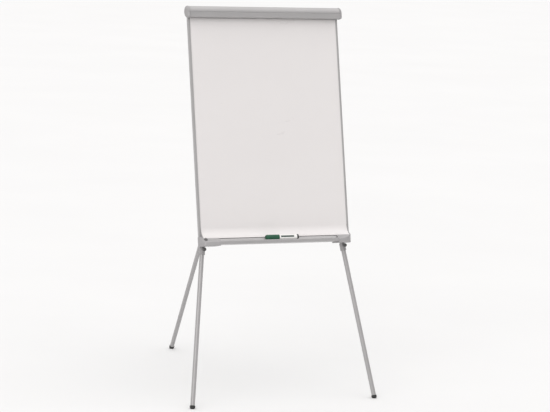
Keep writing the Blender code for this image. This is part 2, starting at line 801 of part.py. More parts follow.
def make_lower_leg(frame, name, top):
    """The sliding tube with the plug in its top end and the rubber foot in its bottom end."""
    bore = LOWER_RADIUS - LOWER_WALL
    low = FOOT_SHOULDER + GAP
    tube("lower_tube_" + name, GREY, frame, LOWER_RADIUS, bore, low, top)
    plug = [
        (0, top + 0.0030),
        (LOWER_RADIUS - 0.0010, top + 0.0030),
        (LOWER_RADIUS, top + 0.0020),
        (LOWER_RADIUS, top + GAP),
        (bore - GAP, top + GAP),
        (bore - GAP, top - 0.020),
        (0, top - 0.020),
    ]
    turned("guide_plug_" + name, BLACK_PLASTIC, frame, plug, steps=SMALL_STEPS)
    stem = bore - GAP
    ball = arc((0, 0), FOOT_RADIUS, 20, -90, 9)
    foot = turned(
        "foot_" + name, RUBBER, frame,
        [(0, FOOT_STEM), (stem, FOOT_STEM), (stem, FOOT_SHOULDER), (FOOT_RADIUS - 0.0008, FOOT_SHOULDER)]
        + ball[:-1] + [(0, -FOOT_RADIUS)],
    )
    boolean(foot, ground)


def make_ground():
    """A block below the floor: it gives each foot its flat, worn face."""
    reach = 4 * HALF_DEPTH
    return block_cutter("ground", None, (-reach, -reach, -0.1), (reach, reach, 0))


# The head rail, the saddles and the rear hinge


def web_depth(board_z, behind):
    """Depth of a plane that is parallel to the legs, and `behind` in front of their axes."""
    return leg_depth(board_z) - behind / cos(LEAN_DIFFERENCE)


def make_head_rail():
    """A top-hat section on the board's back, whose web is parallel to the legs."""
    mid = UPPER_RADIUS + GAP + RAIL_WALL / 2
    half = RAIL_WEB / 2
    foot = GAP + RAIL_WALL / 2
    low, high = RAIL_HEIGHT - half, RAIL_HEIGHT + half
    line = [
        (foot, high + 0.006 + RAIL_FLANGE),
        (foot, high + 0.006),
        (web_depth(high, mid), high),
        (web_depth(low, mid), low),
        (foot, low - 0.006),
        (foot, low - 0.006 - RAIL_FLANGE),
    ]
    half_length = leg_x(RAIL_HEIGHT) + RAIL_END
    folded_sheet("head_rail", GREY, board_space, line, -half_length, half_length, RAIL_WALL)
    face = foot + RAIL_WALL / 2 + GAP
    head = [(0, SCREW_HEAD), (SCREW_HEAD_RADIUS * 0.8, SCREW_HEAD), (SCREW_HEAD_RADIUS, 0), (0, 0)]
    flange = half + 0.006 + RAIL_FLANGE / 2
    for i, (x, z) in enumerate(((-1, 1), (1, 1), (-1, -1), (1, -1)), start=1):
        spot = (x * (half_length - 0.025), face, RAIL_HEIGHT + z * flange)
        turned(f"rail_screw_{i}", STEEL, board_space, head, spot, (-pi / 2, 0, 0), steps=12)


def make_saddles():
    """Blocks that hold the upper tubes: against the head rail's web, and low on the board."""
    wall = UPPER_RADIUS + SADDLE_WALL
    for side, name, frame in ((-1, "left", leg_left), (1, "right", leg_right)):
        x = side * leg_x(RAIL_HEIGHT)
        z = plane_height(RAIL_HEIGHT)
        top = block(
            "top_saddle_" + name, GREY_PLASTIC, leg_plane,
            (x - SADDLE_HALF_WIDTH, -UPPER_RADIUS, z - SADDLE_HALF_HEIGHT),
            (x + SADDLE_HALF_WIDTH, wall, z + SADDLE_HALF_HEIGHT),
        )
        x = side * leg_x(LOW_SADDLE_HEIGHT)
        depth = leg_depth(LOW_SADDLE_HEIGHT)
        low = block(
            "low_saddle_" + name, GREY_PLASTIC, board_space,
            (x - SADDLE_HALF_WIDTH, GAP, LOW_SADDLE_HEIGHT - SADDLE_HALF_HEIGHT),
            (x + SADDLE_HALF_WIDTH, depth + wall, LOW_SADDLE_HEIGHT + SADDLE_HALF_HEIGHT),
        )
        for piece, height in ((top, RAIL_HEIGHT), (low, LOW_SADDLE_HEIGHT)):
            bore = cylinder_cutter(
                piece.name + "_bore", frame, UPPER_RADIUS + GAP, 0.08, (0, 0, leg_distance(height))
            )
            boolean(piece, bore)
            round_off(piece, 0.0015)


def rear_stop():
    """How far the rear leg's end lies beyond its pivot, and how high its corner meets the clevis."""
    opening = REAR_LEAN + LEG_LEAN
    reach = PIVOT_BACK + UPPER_RADIUS - CLEVIS_WALL - GAP
    above = (reach - UPPER_RADIUS * cos(opening)) / sin(opening)
    return above, above * cos(opening) - UPPER_RADIUS * sin(opening)


def make_rear_hinge():
    """The clevis on the head rail's web, and the pin that the rear leg swings on."""
    wall = CLEVIS_WALL
    half_height = rear_stop()[1] + CLEVIS_MARGIN
    inside = UPPER_RADIUS + 2 * GAP
    outside = inside + wall
    front = -UPPER_RADIUS
    back = PIVOT_BACK + 0.012
    section = [
        (-outside, front),
        (outside, front),
        (outside, back),
        (inside, back),
        (inside, front + wall),
        (-inside, front + wall),
        (-inside, back),
        (-outside, back),
    ]
    middle = plane_height(RAIL_HEIGHT)
    clevis = extrusion(
        "rear_clevis", STEEL, leg_plane, [section],
        middle - half_height, middle + half_height, along="Z",
    )
    clevis = as_mesh(clevis)
    pin_half = outside + 0.0025
    boolean(clevis, pin_hole)
    profile = [
        (0, pin_half + 0.0020),
        (PIN_RADIUS + 0.0018, pin_half + 0.0020),
        (PIN_RADIUS + 0.0018, outside + GAP),
        (PIN_RADIUS, outside + GAP),
        (PIN_RADIUS, -pin_half),
        (0, -pin_half),
    ]
    turned("rear_pin", STEEL, rear_pivot, profile, rotation=(0, pi / 2, 0), steps=SMALL_STEPS)


def make_rear_leg():
    """The rear leg. Its top end stops it against the clevis when the easel stands open."""
    above = rear_stop()[0]
    pivot = REAR_LENGTH
    low = pivot - REAR_UPPER_LENGTH
    cap = 0.003
    upper = tube(
        "upper_tube_rear", GREY, leg_rear, UPPER_RADIUS, UPPER_BORE, low, pivot + above - cap - GAP
    )
    boolean(upper, pin_hole)
    plug = UPPER_BORE - GAP
    profile = [
        (0, pivot + above),
        (UPPER_RADIUS, pivot + above),
        (UPPER_RADIUS, pivot + above - cap),
        (plug, pivot + above - cap),
        (plug, pivot - 0.016),
        (0, pivot - 0.016),
    ]
    boolean(turned("rear_eye_plug", BLACK_PLASTIC, leg_rear, profile), pin_hole)
    make_collar(leg_rear, "rear", low + COLLAR_LENGTH - 0.003, upper, facing=1)
    make_lower_leg(leg_rear, "rear", low + LOWER_OVERLAP)


# The marker


def make_marker():
    neck = CAP_LENGTH + GAP
    seat = MARKER_LENGTH - END_PLUG
    tip = 0.0225
    bore = MARKER_RADIUS - CAP_WALL
    inside = bore - GAP - RUNNING
    cap = [
        (0, 0.0020),
        (bore, 0.0020),
        (bore, CAP_LENGTH),
        (MARKER_RADIUS, CAP_LENGTH),
        (MARKER_RADIUS, 0.0020),
        (MARKER_RADIUS - 0.0015, 0),
        (0, 0),
    ]
    barrel = [
        (0, seat - GAP),
        (MARKER_RADIUS, seat - GAP),
        (MARKER_RADIUS, neck),
        (inside, neck),
        (inside, 0.034),
        (0.0045, 0.030),
        (0.0045, tip),
        (0, tip),
    ]
    plug = [
        (0, MARKER_LENGTH),
        (MARKER_RADIUS - 0.0015, MARKER_LENGTH),
        (MARKER_RADIUS - 0.0003, MARKER_LENGTH - 0.0015),
        (MARKER_RADIUS - 0.0003, seat),
        (0, seat),
    ]
    nib = [(0, tip - GAP), (0.0025, tip - GAP), (0.0025, 0.0140), (0.0012, 0.0105), (0, 0.0105)]
    turned("marker_cap", GREEN, marker_space, cap)
    turned("marker_barrel", MARKER_WHITE, marker_space, barrel)
    turned("marker_end_plug", BLACK_PLASTIC, marker_space, plug)
    turned("marker_nib", FELT, marker_space, nib, steps=SMALL_STEPS)


clear_scene()
EASEL = collection("flipchart_easel")
CUTTERS = collection("cutters")

WHITE = material("white_lacquer", (0.86, 0.85, 0.84), 0.22)
GREY = material("grey_paint", (0.50, 0.50, 0.49), 0.42, 0.2)
GREY_PLASTIC = material("grey_plastic", (0.44, 0.44, 0.43), 0.50)
ALUMINIUM = material("bare_aluminium", (0.70, 0.70, 0.70), 0.35, 1.0)
ZINC = material("zinc_sheet", (0.62, 0.63, 0.64), 0.40, 0.9)
STEEL = material("plated_steel", (0.60, 0.60, 0.60), 0.30, 1.0)
FIBRE = material("fibreboard", (0.42, 0.30, 0.18), 0.85)
RUBBER = material("black_rubber", (0.03, 0.03, 0.03), 0.75)
BLACK_PLASTIC = material("black_plastic", (0.04, 0.04, 0.04), 0.45)
GREEN = material("green_plastic", (0.02, 0.22, 0.11), 0.35)
MARKER_WHITE = material("white_plastic", (0.85, 0.85, 0.84), 0.35)
FELT = material("green_felt", (0.02, 0.15, 0.08), 0.90)

board_space = empty("board_space", (0, BOARD_Y, BOARD_HEIGHT), (-BOARD_LEAN, 0, 0))
clamp_space = empty("clamp_space", (0, *CLAMP_PIVOT), parent=board_space)
marker_space = empty("marker_space", (MARKER_LEFT, MARKER_Y, MARKER_Z), (0, pi / 2, 0), board_space)
leg_plane = empty("leg_plane", (0, -BALL_OFFSET, FOOT_BALL_HEIGHT), (-LEG_LEAN, 0, 0))

rail_up = plane_height(RAIL_HEIGHT)
pivot_y = -BALL_OFFSET + rail_up * sin(LEG_LEAN) + PIVOT_BACK * cos(LEG_LEAN)
pivot_z = FOOT_BALL_HEIGHT + rail_up * cos(LEG_LEAN) - PIVOT_BACK * sin(LEG_LEAN)
REAR_LEAN = atan2(BALL_OFFSET - pivot_y, pivot_z - FOOT_BALL_HEIGHT)
REAR_LENGTH = (pivot_z - FOOT_BALL_HEIGHT) / cos(REAR_LEAN)
rear_pivot = empty("rear_pivot", (0, pivot_y, pivot_z), (REAR_LEAN, 0, 0))
leg_rear = empty("leg_axis_rear", (0, 0, -REAR_LENGTH), parent=rear_pivot)

ground = make_ground()
pin_hole = cylinder_cutter("pin_hole", rear_pivot, PIN_RADIUS + RUNNING, 0.05, (0, 0, 0), (0, pi / 2, 0))

make_panel()
make_frame()
make_tray()
make_clamp_bar()
make_clamp_track()
make_clamp_hinge()
make_hooks()
leg_left = make_front_leg(-1, "left")
leg_right = make_front_leg(1, "right")
make_head_rail()
make_saddles()
make_rear_hinge()
make_rear_leg()
make_marker()
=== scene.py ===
"""The finished look of a tripod flipchart easel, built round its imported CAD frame.

World axes: +X is the reader's right, -Y is the side that is written on, +Z is up, metres.
Board axes: X as above, Y back from the board's rear face, Z up the board from its foot.
Leg axes: Z runs up the leg from the middle of its foot, Y points back.
"""

from math import atan2, cos, pi, radians, sin, tan

import bmesh
import bpy
from mathutils import Matrix, Vector


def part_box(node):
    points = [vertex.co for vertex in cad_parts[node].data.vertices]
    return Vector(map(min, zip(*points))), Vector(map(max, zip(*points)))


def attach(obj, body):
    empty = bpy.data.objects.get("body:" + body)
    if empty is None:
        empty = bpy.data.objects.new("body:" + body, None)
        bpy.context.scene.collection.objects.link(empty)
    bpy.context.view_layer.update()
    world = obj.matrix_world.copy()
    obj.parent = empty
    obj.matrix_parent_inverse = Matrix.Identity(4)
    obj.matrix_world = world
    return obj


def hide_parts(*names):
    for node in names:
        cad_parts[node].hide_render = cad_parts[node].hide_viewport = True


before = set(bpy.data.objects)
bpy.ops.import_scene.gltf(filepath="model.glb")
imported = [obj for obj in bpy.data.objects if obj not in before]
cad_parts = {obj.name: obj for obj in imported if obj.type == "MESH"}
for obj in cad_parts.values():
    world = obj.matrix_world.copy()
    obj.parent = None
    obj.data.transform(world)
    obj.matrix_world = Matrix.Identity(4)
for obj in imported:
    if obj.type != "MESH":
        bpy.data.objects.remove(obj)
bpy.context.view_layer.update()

for name in ("Cube", "Light", "Camera"):
    if name in bpy.data.objects:
        bpy.data.objects.remove(bpy.data.objects[name])

GAP = 0.0003

# Stance
BOARD_LEAN = radians(13.0)
LEG_LEAN = radians(15.85)
LEG_SPLAY = radians(8.3)
REAR_LEAN = radians(27.6855)
LEAN_DIFFERENCE = LEG_LEAN - BOARD_LEAN
BOARD_FOOT = (0, -0.42906, 0.6475)
FOOT_X = 0.42392
FOOT_Y = 0.5965
FOOT_Z = 0.008

# Board, with depths measured back from its rear face
HALF_WIDTH = 0.350
LENGTH = 0.997
FACE = -0.0118
SHEET = 0.0007
SHEET_MIDDLE = -0.01145
SHEET_TOP = LENGTH - 0.0015
FRAME_BACK = 0.0015
PANEL_HALF = 0.3485
SWEEP_HALF = 0.3412
SWEEP_RADIUS = 0.055
SWEEP_START = 0.0785
SWEEP_ANGLE = 58
SWEEP_END = -0.0373
SWEEP_CENTRE = (SHEET_MIDDLE - SWEEP_RADIUS, SWEEP_START)

# Tray, and the (X, Y) reach of each end's rounded front corner
TRAY_WALL = 0.0018
TRAY_END = 0.2755
TRAY_FRONT = -0.06289
TRAY_UNDER = 0.0045
TRAY_HEIGHT = 0.0400
TRAY_SHELF = FACE - 0.0080
TRAY_LIP_TOP = 0.0195
GROOVE_FLOOR = 0.0175
COVE_FOOT = -0.04435
COVE_TOP = 0.0292
COVE_TUCK = 0.0012
CAP_OUTER = 0.3515
CAP_FRONT = TRAY_FRONT - 0.0012
CHEEK_BACK = FACE - 0.0018
CHEEK_FOOT = 0.030
CHEEK_WALL = 0.0027
LEFT_CORNER = (0.012, 0.012)
RIGHT_CORNER = (0.070, 0.050)
BUTTON_X = -0.3385

# Marker
MARKER_LENGTH = 0.150
MARKER_RADIUS = 0.0108
MARKER_LEFT = -0.062
MARKER_Y = -0.05084
MARKER_Z = 0.0286
MARKER_CAP = 0.060
MARKER_SEAT = 0.142

# Clamp
CLAMP_PIVOT = (-0.0188, 1.0015)
CLAMP_CENTRE = (-0.0188, 0.9850)
CLAMP_RADIUS = 0.0235
CLAMP_WALL = 0.0020
CLAMP_BOTTOM = 0.9595
CLAMP_CAP_START = 0.0022
CLAMP_CAP_DOME = 0.0140
CLAMP_CAP_PROUD = 0.0012
TRACK_BACK = -0.0136
TRACK_FRONT = -0.0222
TRACK_TOP = 0.987
TRACK_BOTTOM = 0.969
TRACK_MIDDLE = (TRACK_BOTTOM + TRACK_TOP) / 2
ROD_RADIUS = 0.0020
ROD_HALF = 0.360
SPRING_WIRE = 0.0008
SPRING_TURNS = 5
SPRING_PITCH = 0.0034
SPRING_START = 0.298
HOOK_HALF = 0.015

# Legs, with distances up the leg
UPPER_RADIUS = 0.0110
UPPER_BORE = 0.0098
LOWER_RADIUS = 0.0095
LOWER_BORE = 0.0085
COLLAR_RADIUS = 0.0130
COLLAR_LENGTH = 0.030
COLLAR_STEP = 0.003
BOSS_REACH = 0.0165
KNOB_RADIUS = 0.0082
KNOB_LENGTH = 0.0110
KNOB_DROP = 0.0095
STUD_RADIUS = 0.0025
FOOT_RADIUS = 0.0115
FOOT_SHOULDER = 0.0050
FOOT_STEM = 0.030
FRONT_LOW = 0.63856
FRONT_HIGH = 1.60961
REAR_LOW = 0.70710
REAR_PIVOT = 1.63710
REAR_ABOVE = 0.02936
OVERLAP = 0.380

# Head rail, saddles and rear hinge
RAIL_HEIGHT = 0.850
RAIL_HALF_WEB = 0.022
RAIL_HALF_LENGTH = 0.23424
RAIL_STEP = 0.006
RAIL_FLANGE = 0.020
RAIL_WALL = 0.0020
RAIL_SCREW_X = 0.20924
RAIL_SCREW_RISE = 0.038
LEG_STANDOFF = 0.0136
SADDLE_OUTSIDE = UPPER_RADIUS + 0.0035
TOP_SADDLE_X = 0.20324
TOP_SADDLE_UP = 1.51265
LOW_SADDLE_X = 0.31060
LOW_SADDLE_Y = 0.01933 + SADDLE_OUTSIDE
LOW_SADDLE_Z = 0.115
PIN_RADIUS = 0.0030
PIN_HEAD_RADIUS = 0.0048
PIN_HALF = 0.0166
PIN_SEAT = 0.0144


# Places


def at(x, y, z):
    return Matrix.Translation((x, y, z))


def turned(angle, axis):
    return Matrix.Rotation(angle, 4, axis)


ALONG_X = turned(pi / 2, "Y")
TO_BACK = turned(-pi / 2, "X")
TO_FRONT = turned(pi / 2, "X")
BOARD = at(*BOARD_FOOT) @ turned(-BOARD_LEAN, "X")
CLAMP = BOARD @ at(0, *CLAMP_PIVOT)
PLANE = at(0, -FOOT_Y, FOOT_Z) @ turned(-LEG_LEAN, "X")
REAR = at(0, FOOT_Y, FOOT_Z) @ turned(REAR_LEAN, "X")
LEFT = PLANE @ at(-FOOT_X, 0, 0) @ turned(LEG_SPLAY, "Y")
RIGHT = PLANE @ at(FOOT_X, 0, 0) @ turned(-LEG_SPLAY, "Y")
MARKER = BOARD @ at(MARKER_LEFT, MARKER_Y, MARKER_Z) @ ALONG_X


# Materials


def blank(name, roughness, metallic=0.0, **sockets):
    """A material with its shader, and the piece's own coordinates for its textures."""
    made = bpy.data.materials.new(name + "_finish")
    made["slot"] = name
    made.use_nodes = True
    tree = made.node_tree
    shader = tree.nodes["Principled BSDF"]
    shader.inputs["Roughness"].default_value = roughness
    shader.inputs["Metallic"].default_value = metallic
    for socket, value in sockets.items():
        shader.inputs[socket.replace("_", " ")].default_value = value
    coords = tree.nodes.new("ShaderNodeTexCoord").outputs["Object"]
    return made, tree, shader, coords


def stretched(tree, vector, scale):
    """The coordinates scaled by their own amount on each axis, to draw a texture out."""
    mapping = tree.nodes.new("ShaderNodeMapping")
    mapping.inputs["Scale"].default_value = scale
    tree.links.new(vector, mapping.inputs["Vector"])
    return mapping.outputs["Vector"]


def noise(tree, vector, scale, detail=3.0, rough=0.55):
    """Smooth noise, from 0 to 1."""
    made = tree.nodes.new("ShaderNodeTexNoise")
    made.inputs["Scale"].default_value = scale
    made.inputs["Detail"].default_value = detail
    made.inputs["Roughness"].default_value = rough
    tree.links.new(vector, made.inputs["Vector"])
    return made.outputs["Fac"]


def cells(tree, vector, scale):
    """Crystal-like cells, each with a colour of its own."""
    made = tree.nodes.new("ShaderNodeTexVoronoi")
    made.inputs["Scale"].default_value = scale
    tree.links.new(vector, made.inputs["Vector"])
    return made.outputs["Color"]


def spread(tree, value, low, high, start=0.3, end=0.7):
    """The value from start to end, mapped to low to high."""
    made = tree.nodes.new("ShaderNodeMapRange")
    for socket, number in zip(("From Min", "From Max", "To Min", "To Max"), (start, end, low, high)):
        made.inputs[socket].default_value = number
    tree.links.new(value, made.inputs["Value"])
    return made.outputs["Result"]


def tones(tree, value, stops):
    """A colour ramp, from (place, colour) stops."""
    made = tree.nodes.new("ShaderNodeValToRGB")
    ramp = made.color_ramp
    while len(ramp.elements) < len(stops):
        ramp.elements.new(0.5)
    for element, (place, colour) in zip(ramp.elements, stops):
        element.position = place
        element.color = (*colour, 1)
    tree.links.new(value, made.inputs["Fac"])
    return made.outputs["Color"]


def arithmetic(tree, operation, first, second):
    """A Math node on a socket, with a number or another socket."""
    made = tree.nodes.new("ShaderNodeMath")
    made.operation = operation
    tree.links.new(first, made.inputs[0])
    if isinstance(second, float):
        made.inputs[1].default_value = second
    else:
        tree.links.new(second, made.inputs[1])
    return made.outputs["Value"]


def inside(tree, value, low, high):
    """1 where the value lies between the limits, otherwise 0."""
    over = arithmetic(tree, "GREATER_THAN", value, low)
    under = arithmetic(tree, "LESS_THAN", value, high)
    return arithmetic(tree, "MULTIPLY", over, under)


def shaded(colour, by):
    """A colour made darker or lighter."""
    return tuple(min(1.0, part * by) for part in colour)


def bumped(tree, shader, height, strength, distance):
    """Raises the surface's detail by the height texture."""
    made = tree.nodes.new("ShaderNodeBump")
    made.inputs["Strength"].default_value = strength
    made.inputs["Distance"].default_value = distance
    tree.links.new(height, made.inputs["Height"])
    tree.links.new(made.outputs["Normal"], shader.inputs["Normal"])


def mottled(name, colour, roughness, grain, depth, spot=9.0, contrast=0.06, metallic=0.0, **sockets):
    """Paint or moulded plastic: a fine grain over slow, faint changes of tone and gloss."""
    made, tree, shader, coords = blank(name, roughness, metallic, **sockets)
    slow = noise(tree, coords, spot, 4.0)
    low, high = shaded(colour, 1 - contrast), shaded(colour, 1 + contrast)
    tree.links.new(tones(tree, slow, ((0.3, low), (0.7, high))), shader.inputs["Base Color"])
    gloss = noise(tree, coords, spot * 7, 3.0)
    level = spread(tree, gloss, roughness * 0.86, roughness * 1.14)
    tree.links.new(level, shader.inputs["Roughness"])
    bumped(tree, shader, noise(tree, coords, grain, 2.0), 0.5, depth)
    return made


def white_lacquer():
    """The writing surface: near-white gloss lacquer with an even orange peel and the haze of wiped ink."""
    made, tree, shader, coords = blank("white_lacquer", 0.3, Coat_Weight=0.2, Coat_Roughness=0.12)
    wiped = noise(tree, stretched(tree, coords, (2.0, 3.0, 3.0)), 1.2, 5.0, 0.6)
    colour = tones(tree, wiped, ((0.3, (0.712, 0.686, 0.682)), (0.7, (0.727, 0.702, 0.697))))
    tree.links.new(colour, shader.inputs["Base Color"])
    haze = noise(tree, stretched(tree, coords, (5.0, 12.0, 14.0)), 1.0, 6.0, 0.7)
    tree.links.new(spread(tree, haze, 0.27, 0.33), shader.inputs["Roughness"])
    bumped(tree, shader, noise(tree, coords, 260.0, 1.0), 0.12, 0.0002)
    return made


def drawn_metal(name, colour, roughness, across):
    """Metal with fine lines drawn along X."""
    made, tree, shader, coords = blank(name, roughness, 1.0)
    lines = noise(tree, stretched(tree, coords, (4.0, across, across)), 1.0, 4.0, 0.7)
    tree.links.new(
        tones(tree, lines, ((0.3, shaded(colour, 0.90)), (0.7, shaded(colour, 1.06)))),
        shader.inputs["Base Color"],
    )
    tree.links.new(spread(tree, lines, roughness * 0.8, roughness * 1.25), shader.inputs["Roughness"])
    bumped(tree, shader, lines, 0.25, 0.0001)
    return made


def zinc_sheet():
    """Galvanised sheet: soft-edged crystals, each with its own tone and gloss."""
    made, tree, shader, coords = blank("zinc_sheet", 0.42, 0.85)
    bent = tree.nodes.new("ShaderNodeVectorMath")
    bent.operation = "ADD"
    tree.links.new(coords, bent.inputs[0])
    wobble = tree.nodes.new("ShaderNodeTexNoise")
    wobble.inputs["Scale"].default_value = 60.0
    small = tree.nodes.new("ShaderNodeVectorMath")
    small.operation = "SCALE"
    small.inputs["Scale"].default_value = 0.02
    tree.links.new(coords, wobble.inputs["Vector"])
    tree.links.new(wobble.outputs["Color"], small.inputs[0])
    tree.links.new(small.outputs["Vector"], bent.inputs[1])
    crystal = cells(tree, bent.outputs["Vector"], 75.0)
    grey = tree.nodes.new("ShaderNodeRGBToBW")
    tree.links.new(crystal, grey.inputs["Color"])
    stops = ((0.2, (0.47, 0.49, 0.50)), (0.8, (0.60, 0.62, 0.63)))
    tree.links.new(tones(tree, grey.outputs["Val"], stops), shader.inputs["Base Color"])
    tree.links.new(spread(tree, grey.outputs["Val"], 0.34, 0.52), shader.inputs["Roughness"])
    bumped(tree, shader, noise(tree, coords, 9.0, 2.0), 0.10, 0.002)
    return made


def fibreboard():
    """Pressed board: short brown fibres."""
    made, tree, shader, coords = blank("fibreboard", 0.9)
    fibres = noise(tree, stretched(tree, coords, (900.0, 300.0, 900.0)), 1.0, 5.0, 0.7)
    stops = ((0.3, (0.27, 0.18, 0.10)), (0.55, (0.40, 0.28, 0.17)), (0.75, (0.52, 0.39, 0.25)))
    tree.links.new(tones(tree, fibres, stops), shader.inputs["Base Color"])
    bumped(tree, shader, fibres, 0.6, 0.0004)
    return made


def felt():
    """The marker's nib: matted fibres soaked with green ink."""
    made, tree, shader, coords = blank("green_felt", 0.95, Sheen_Weight=0.3)
    fluff = noise(tree, coords, 2400.0, 4.0, 0.7)
    stops = ((0.3, (0.008, 0.07, 0.04)), (0.7, (0.03, 0.20, 0.11)))
    tree.links.new(tones(tree, fluff, stops), shader.inputs["Base Color"])
    bumped(tree, shader, fluff, 0.8, 0.0003)
    return made


def printed_barrel():
    """White plastic with a plain dark stripe printed along the barrel's upper front."""
    made, tree, shader, coords = blank("white_plastic", 0.3, Coat_Weight=0.15, Coat_Roughness=0.1)
    split = tree.nodes.new("ShaderNodeSeparateXYZ")
    tree.links.new(coords, split.inputs["Vector"])

    front = arithmetic(tree, "LESS_THAN", split.outputs["Y"], 0.0)
    band = arithmetic(tree, "MULTIPLY", inside(tree, split.outputs["X"], -0.0062, 0.0012), front)
    stripe = arithmetic(tree, "MULTIPLY", inside(tree, split.outputs["Z"], 0.066, 0.127), band)
    colour = tones(tree, stripe, ((0.0, (0.80, 0.79, 0.77)), (1.0, (0.035, 0.06, 0.05))))
    tree.links.new(colour, shader.inputs["Base Color"])
    tree.links.new(spread(tree, noise(tree, coords, 90.0), 0.26, 0.38), shader.inputs["Roughness"])
    bumped(tree, shader, noise(tree, coords, 500.0, 1.0), 0.15, 0.0001)
    return made


WHITE = white_lacquer()
GREY = mottled("grey_paint", (0.385, 0.376, 0.377), 0.34, 1500.0, 0.00010, contrast=0.03, metallic=0.25)
GREY_PLASTIC = mottled("grey_plastic", (0.345, 0.335, 0.338), 0.50, 2200.0, 0.00010, 14.0, 0.05)
ALUMINIUM = drawn_metal("bare_aluminium", (0.66, 0.66, 0.66), 0.34, 1800.0)
ZINC = zinc_sheet()
STEEL = mottled("plated_steel", (0.56, 0.56, 0.55), 0.28, 1800.0, 0.00005, 60.0, 0.08, metallic=1.0)
FIBRE = fibreboard()
RUBBER = mottled("black_rubber", (0.030, 0.030, 0.030), 0.78, 1400.0, 0.00020, 40.0, 0.25)
BLACK = mottled("black_plastic", (0.022, 0.022, 0.023), 0.46, 2200.0, 0.00010, 30.0, 0.15)
DARK = mottled("black_plastic", (0.115, 0.112, 0.112), 0.5, 2200.0, 0.00010, 30.0, 0.12)
GREEN = mottled("green_plastic", (0.005, 0.078, 0.036), 0.50, 900.0, 0.00004, 40.0, 0.10)
BARREL = printed_barrel()
FELT = felt()


# Building pieces

AXIS = 1e-6


def fillet(points, radius, closed=False, steps=5):
    """The line of 2-D points with each corner that turns by over 8 degrees rounded off."""
    rounded = []
    last = len(points) - 1
    for i, point in enumerate(points):
        if not closed and i in (0, last):
            rounded.append(tuple(point))
            continue
        here = Vector(point)
        back = Vector(points[i - 1]) - here
        on = Vector(points[(i + 1) % len(points)]) - here
        corner = back.angle(on)
        if corner > radians(172):
            rounded.append(tuple(point))
            continue
        reach = min(radius / tan(corner / 2), 0.48 * back.length, 0.48 * on.length)
        start, end = here + back.normalized() * reach, here + on.normalized() * reach
        for k in range(steps + 1):
            t = k / steps
            rounded.append(tuple(start * (1 - t) ** 2 + here * (2 * t * (1 - t)) + end * t ** 2))
    return rounded


def arc(centre, radius, start, end, count):
    """Points on an arc, with angles in degrees from the first axis towards the second."""
    angles = [radians(start + (end - start) * i / count) for i in range(count + 1)]
    return [(centre[0] + radius * cos(a), centre[1] + radius * sin(a)) for a in angles]


def link(obj):
    bpy.context.scene.collection.objects.link(obj)
    return obj


def sides(line, thickness):
    """The two faces of a sheet whose middle is the line."""
    points = [Vector(p) for p in line]
    left, right = [], []
    for i, point in enumerate(points):
        before = (point - points[i - 1]).normalized() if i else None
        after = (points[i + 1] - point).normalized() if i < len(points) - 1 else None
        ways = [way for way in (before, after) if way]
        along = sum(ways[1:], ways[0]).normalized()
        across = Vector((-along.y, along.x))
        mitre = 1 / max(0.5, along.dot(ways[0]))
        left.append(point + across * thickness / 2 * mitre)
        right.append(point - across * thickness / 2 * mitre)
    return left, right


def settle(name, form, matrix, body, finish, nodes=(), bevel=0.0, angle=40):
    """Turns the form into a piece with its place, finish, body and the CAD nodes it stands for."""
    bmesh.ops.remove_doubles(form, verts=form.verts, dist=1e-7)
    bmesh.ops.recalc_face_normals(form, faces=form.faces)
    mesh = bpy.data.meshes.new(name)
    form.to_mesh(mesh)
    form.free()
    mesh.materials.append(finish)
    mesh.shade_smooth()
    mesh.set_sharp_from_angle(angle=radians(angle))
    made = link(bpy.data.objects.new(name, mesh))
    made.matrix_world = matrix
    if bevel:
        soften(made, bevel)
    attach(made, body)
    if nodes:
        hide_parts(*nodes)
    return made


def soften(obj, width, segments=3):
    """Rounds the sharp edges over."""
    bevel = obj.modifiers.new("Bevel", "BEVEL")
    bevel.width = width
    bevel.segments = segments
    bevel.limit_method = "ANGLE"
    bevel.angle_limit = radians(38)
    bevel.harden_normals = True
    bevel.use_clamp_overlap = True
    return obj


def skin(form, rings, capped=False):
    """Joins each ring of points to the next, where a ring may be one point, and closes the ends if asked."""
    for low, high in zip(rings, rings[1:]):
        for k in range(max(len(low), len(high))):
            corners = [low[k % len(low)], low[(k + 1) % len(low)]]
            corners += [high[(k + 1) % len(high)], high[k % len(high)]]
            unique = list(dict.fromkeys(corners))
            if len(unique) > 2:
                form.faces.new(unique)
    if capped:
        form.faces.new(rings[0])
        form.faces.new(rings[-1])
    return form


def lathe_form(profile, steps):
    """A (radius, Z) profile turned about Z."""
    form = bmesh.new()
    turns = [2 * pi * k / steps for k in range(steps)]
    rings = []
    for radius, z in profile:
        if radius < AXIS:
            rings.append([form.verts.new((0, 0, z))])
        else:
            rings.append([form.verts.new((radius * cos(a), radius * sin(a), z)) for a in turns])
    return skin(form, rings)


def lathe(name, profile, matrix, body, finish, nodes=(), steps=64, round_by=0.0, closed=False, angle=40):
    """A turned piece, from its (radius, Z) profile."""
    if round_by:
        profile = fillet(profile, round_by, closed)
    if closed:
        profile = [*profile, profile[0]]
    return settle(name, lathe_form(profile, steps), matrix, body, finish, nodes, angle=angle)


def prism_form(outline, start, end):
    """A closed (Y, Z) outline drawn out along X."""
    form = bmesh.new()
    ends = [[form.verts.new((x, y, z)) for y, z in outline] for x in (start, end)]
    return skin(form, ends, capped=True)


def sheet_form(line, thickness, halves):
    """A folded sheet drawn out along X, by its half width at each point of the line."""
    form = bmesh.new()
    faces = sides(line, thickness)
    grid = [
        [[form.verts.new((side * half, *point)) for half, point in zip(halves, face)] for face in faces]
        for side in (-1, 1)
    ]
    count = len(line)
    for k in range(count - 1):
        for left, right in zip(*grid):
            form.faces.new((left[k], left[k + 1], right[k + 1], right[k]))
        for front, rear in grid:
            form.faces.new((front[k], front[k + 1], rear[k + 1], rear[k]))
    for k in (0, count - 1):
        form.faces.new((grid[0][0][k], grid[0][1][k], grid[1][1][k], grid[1][0][k]))
    return form


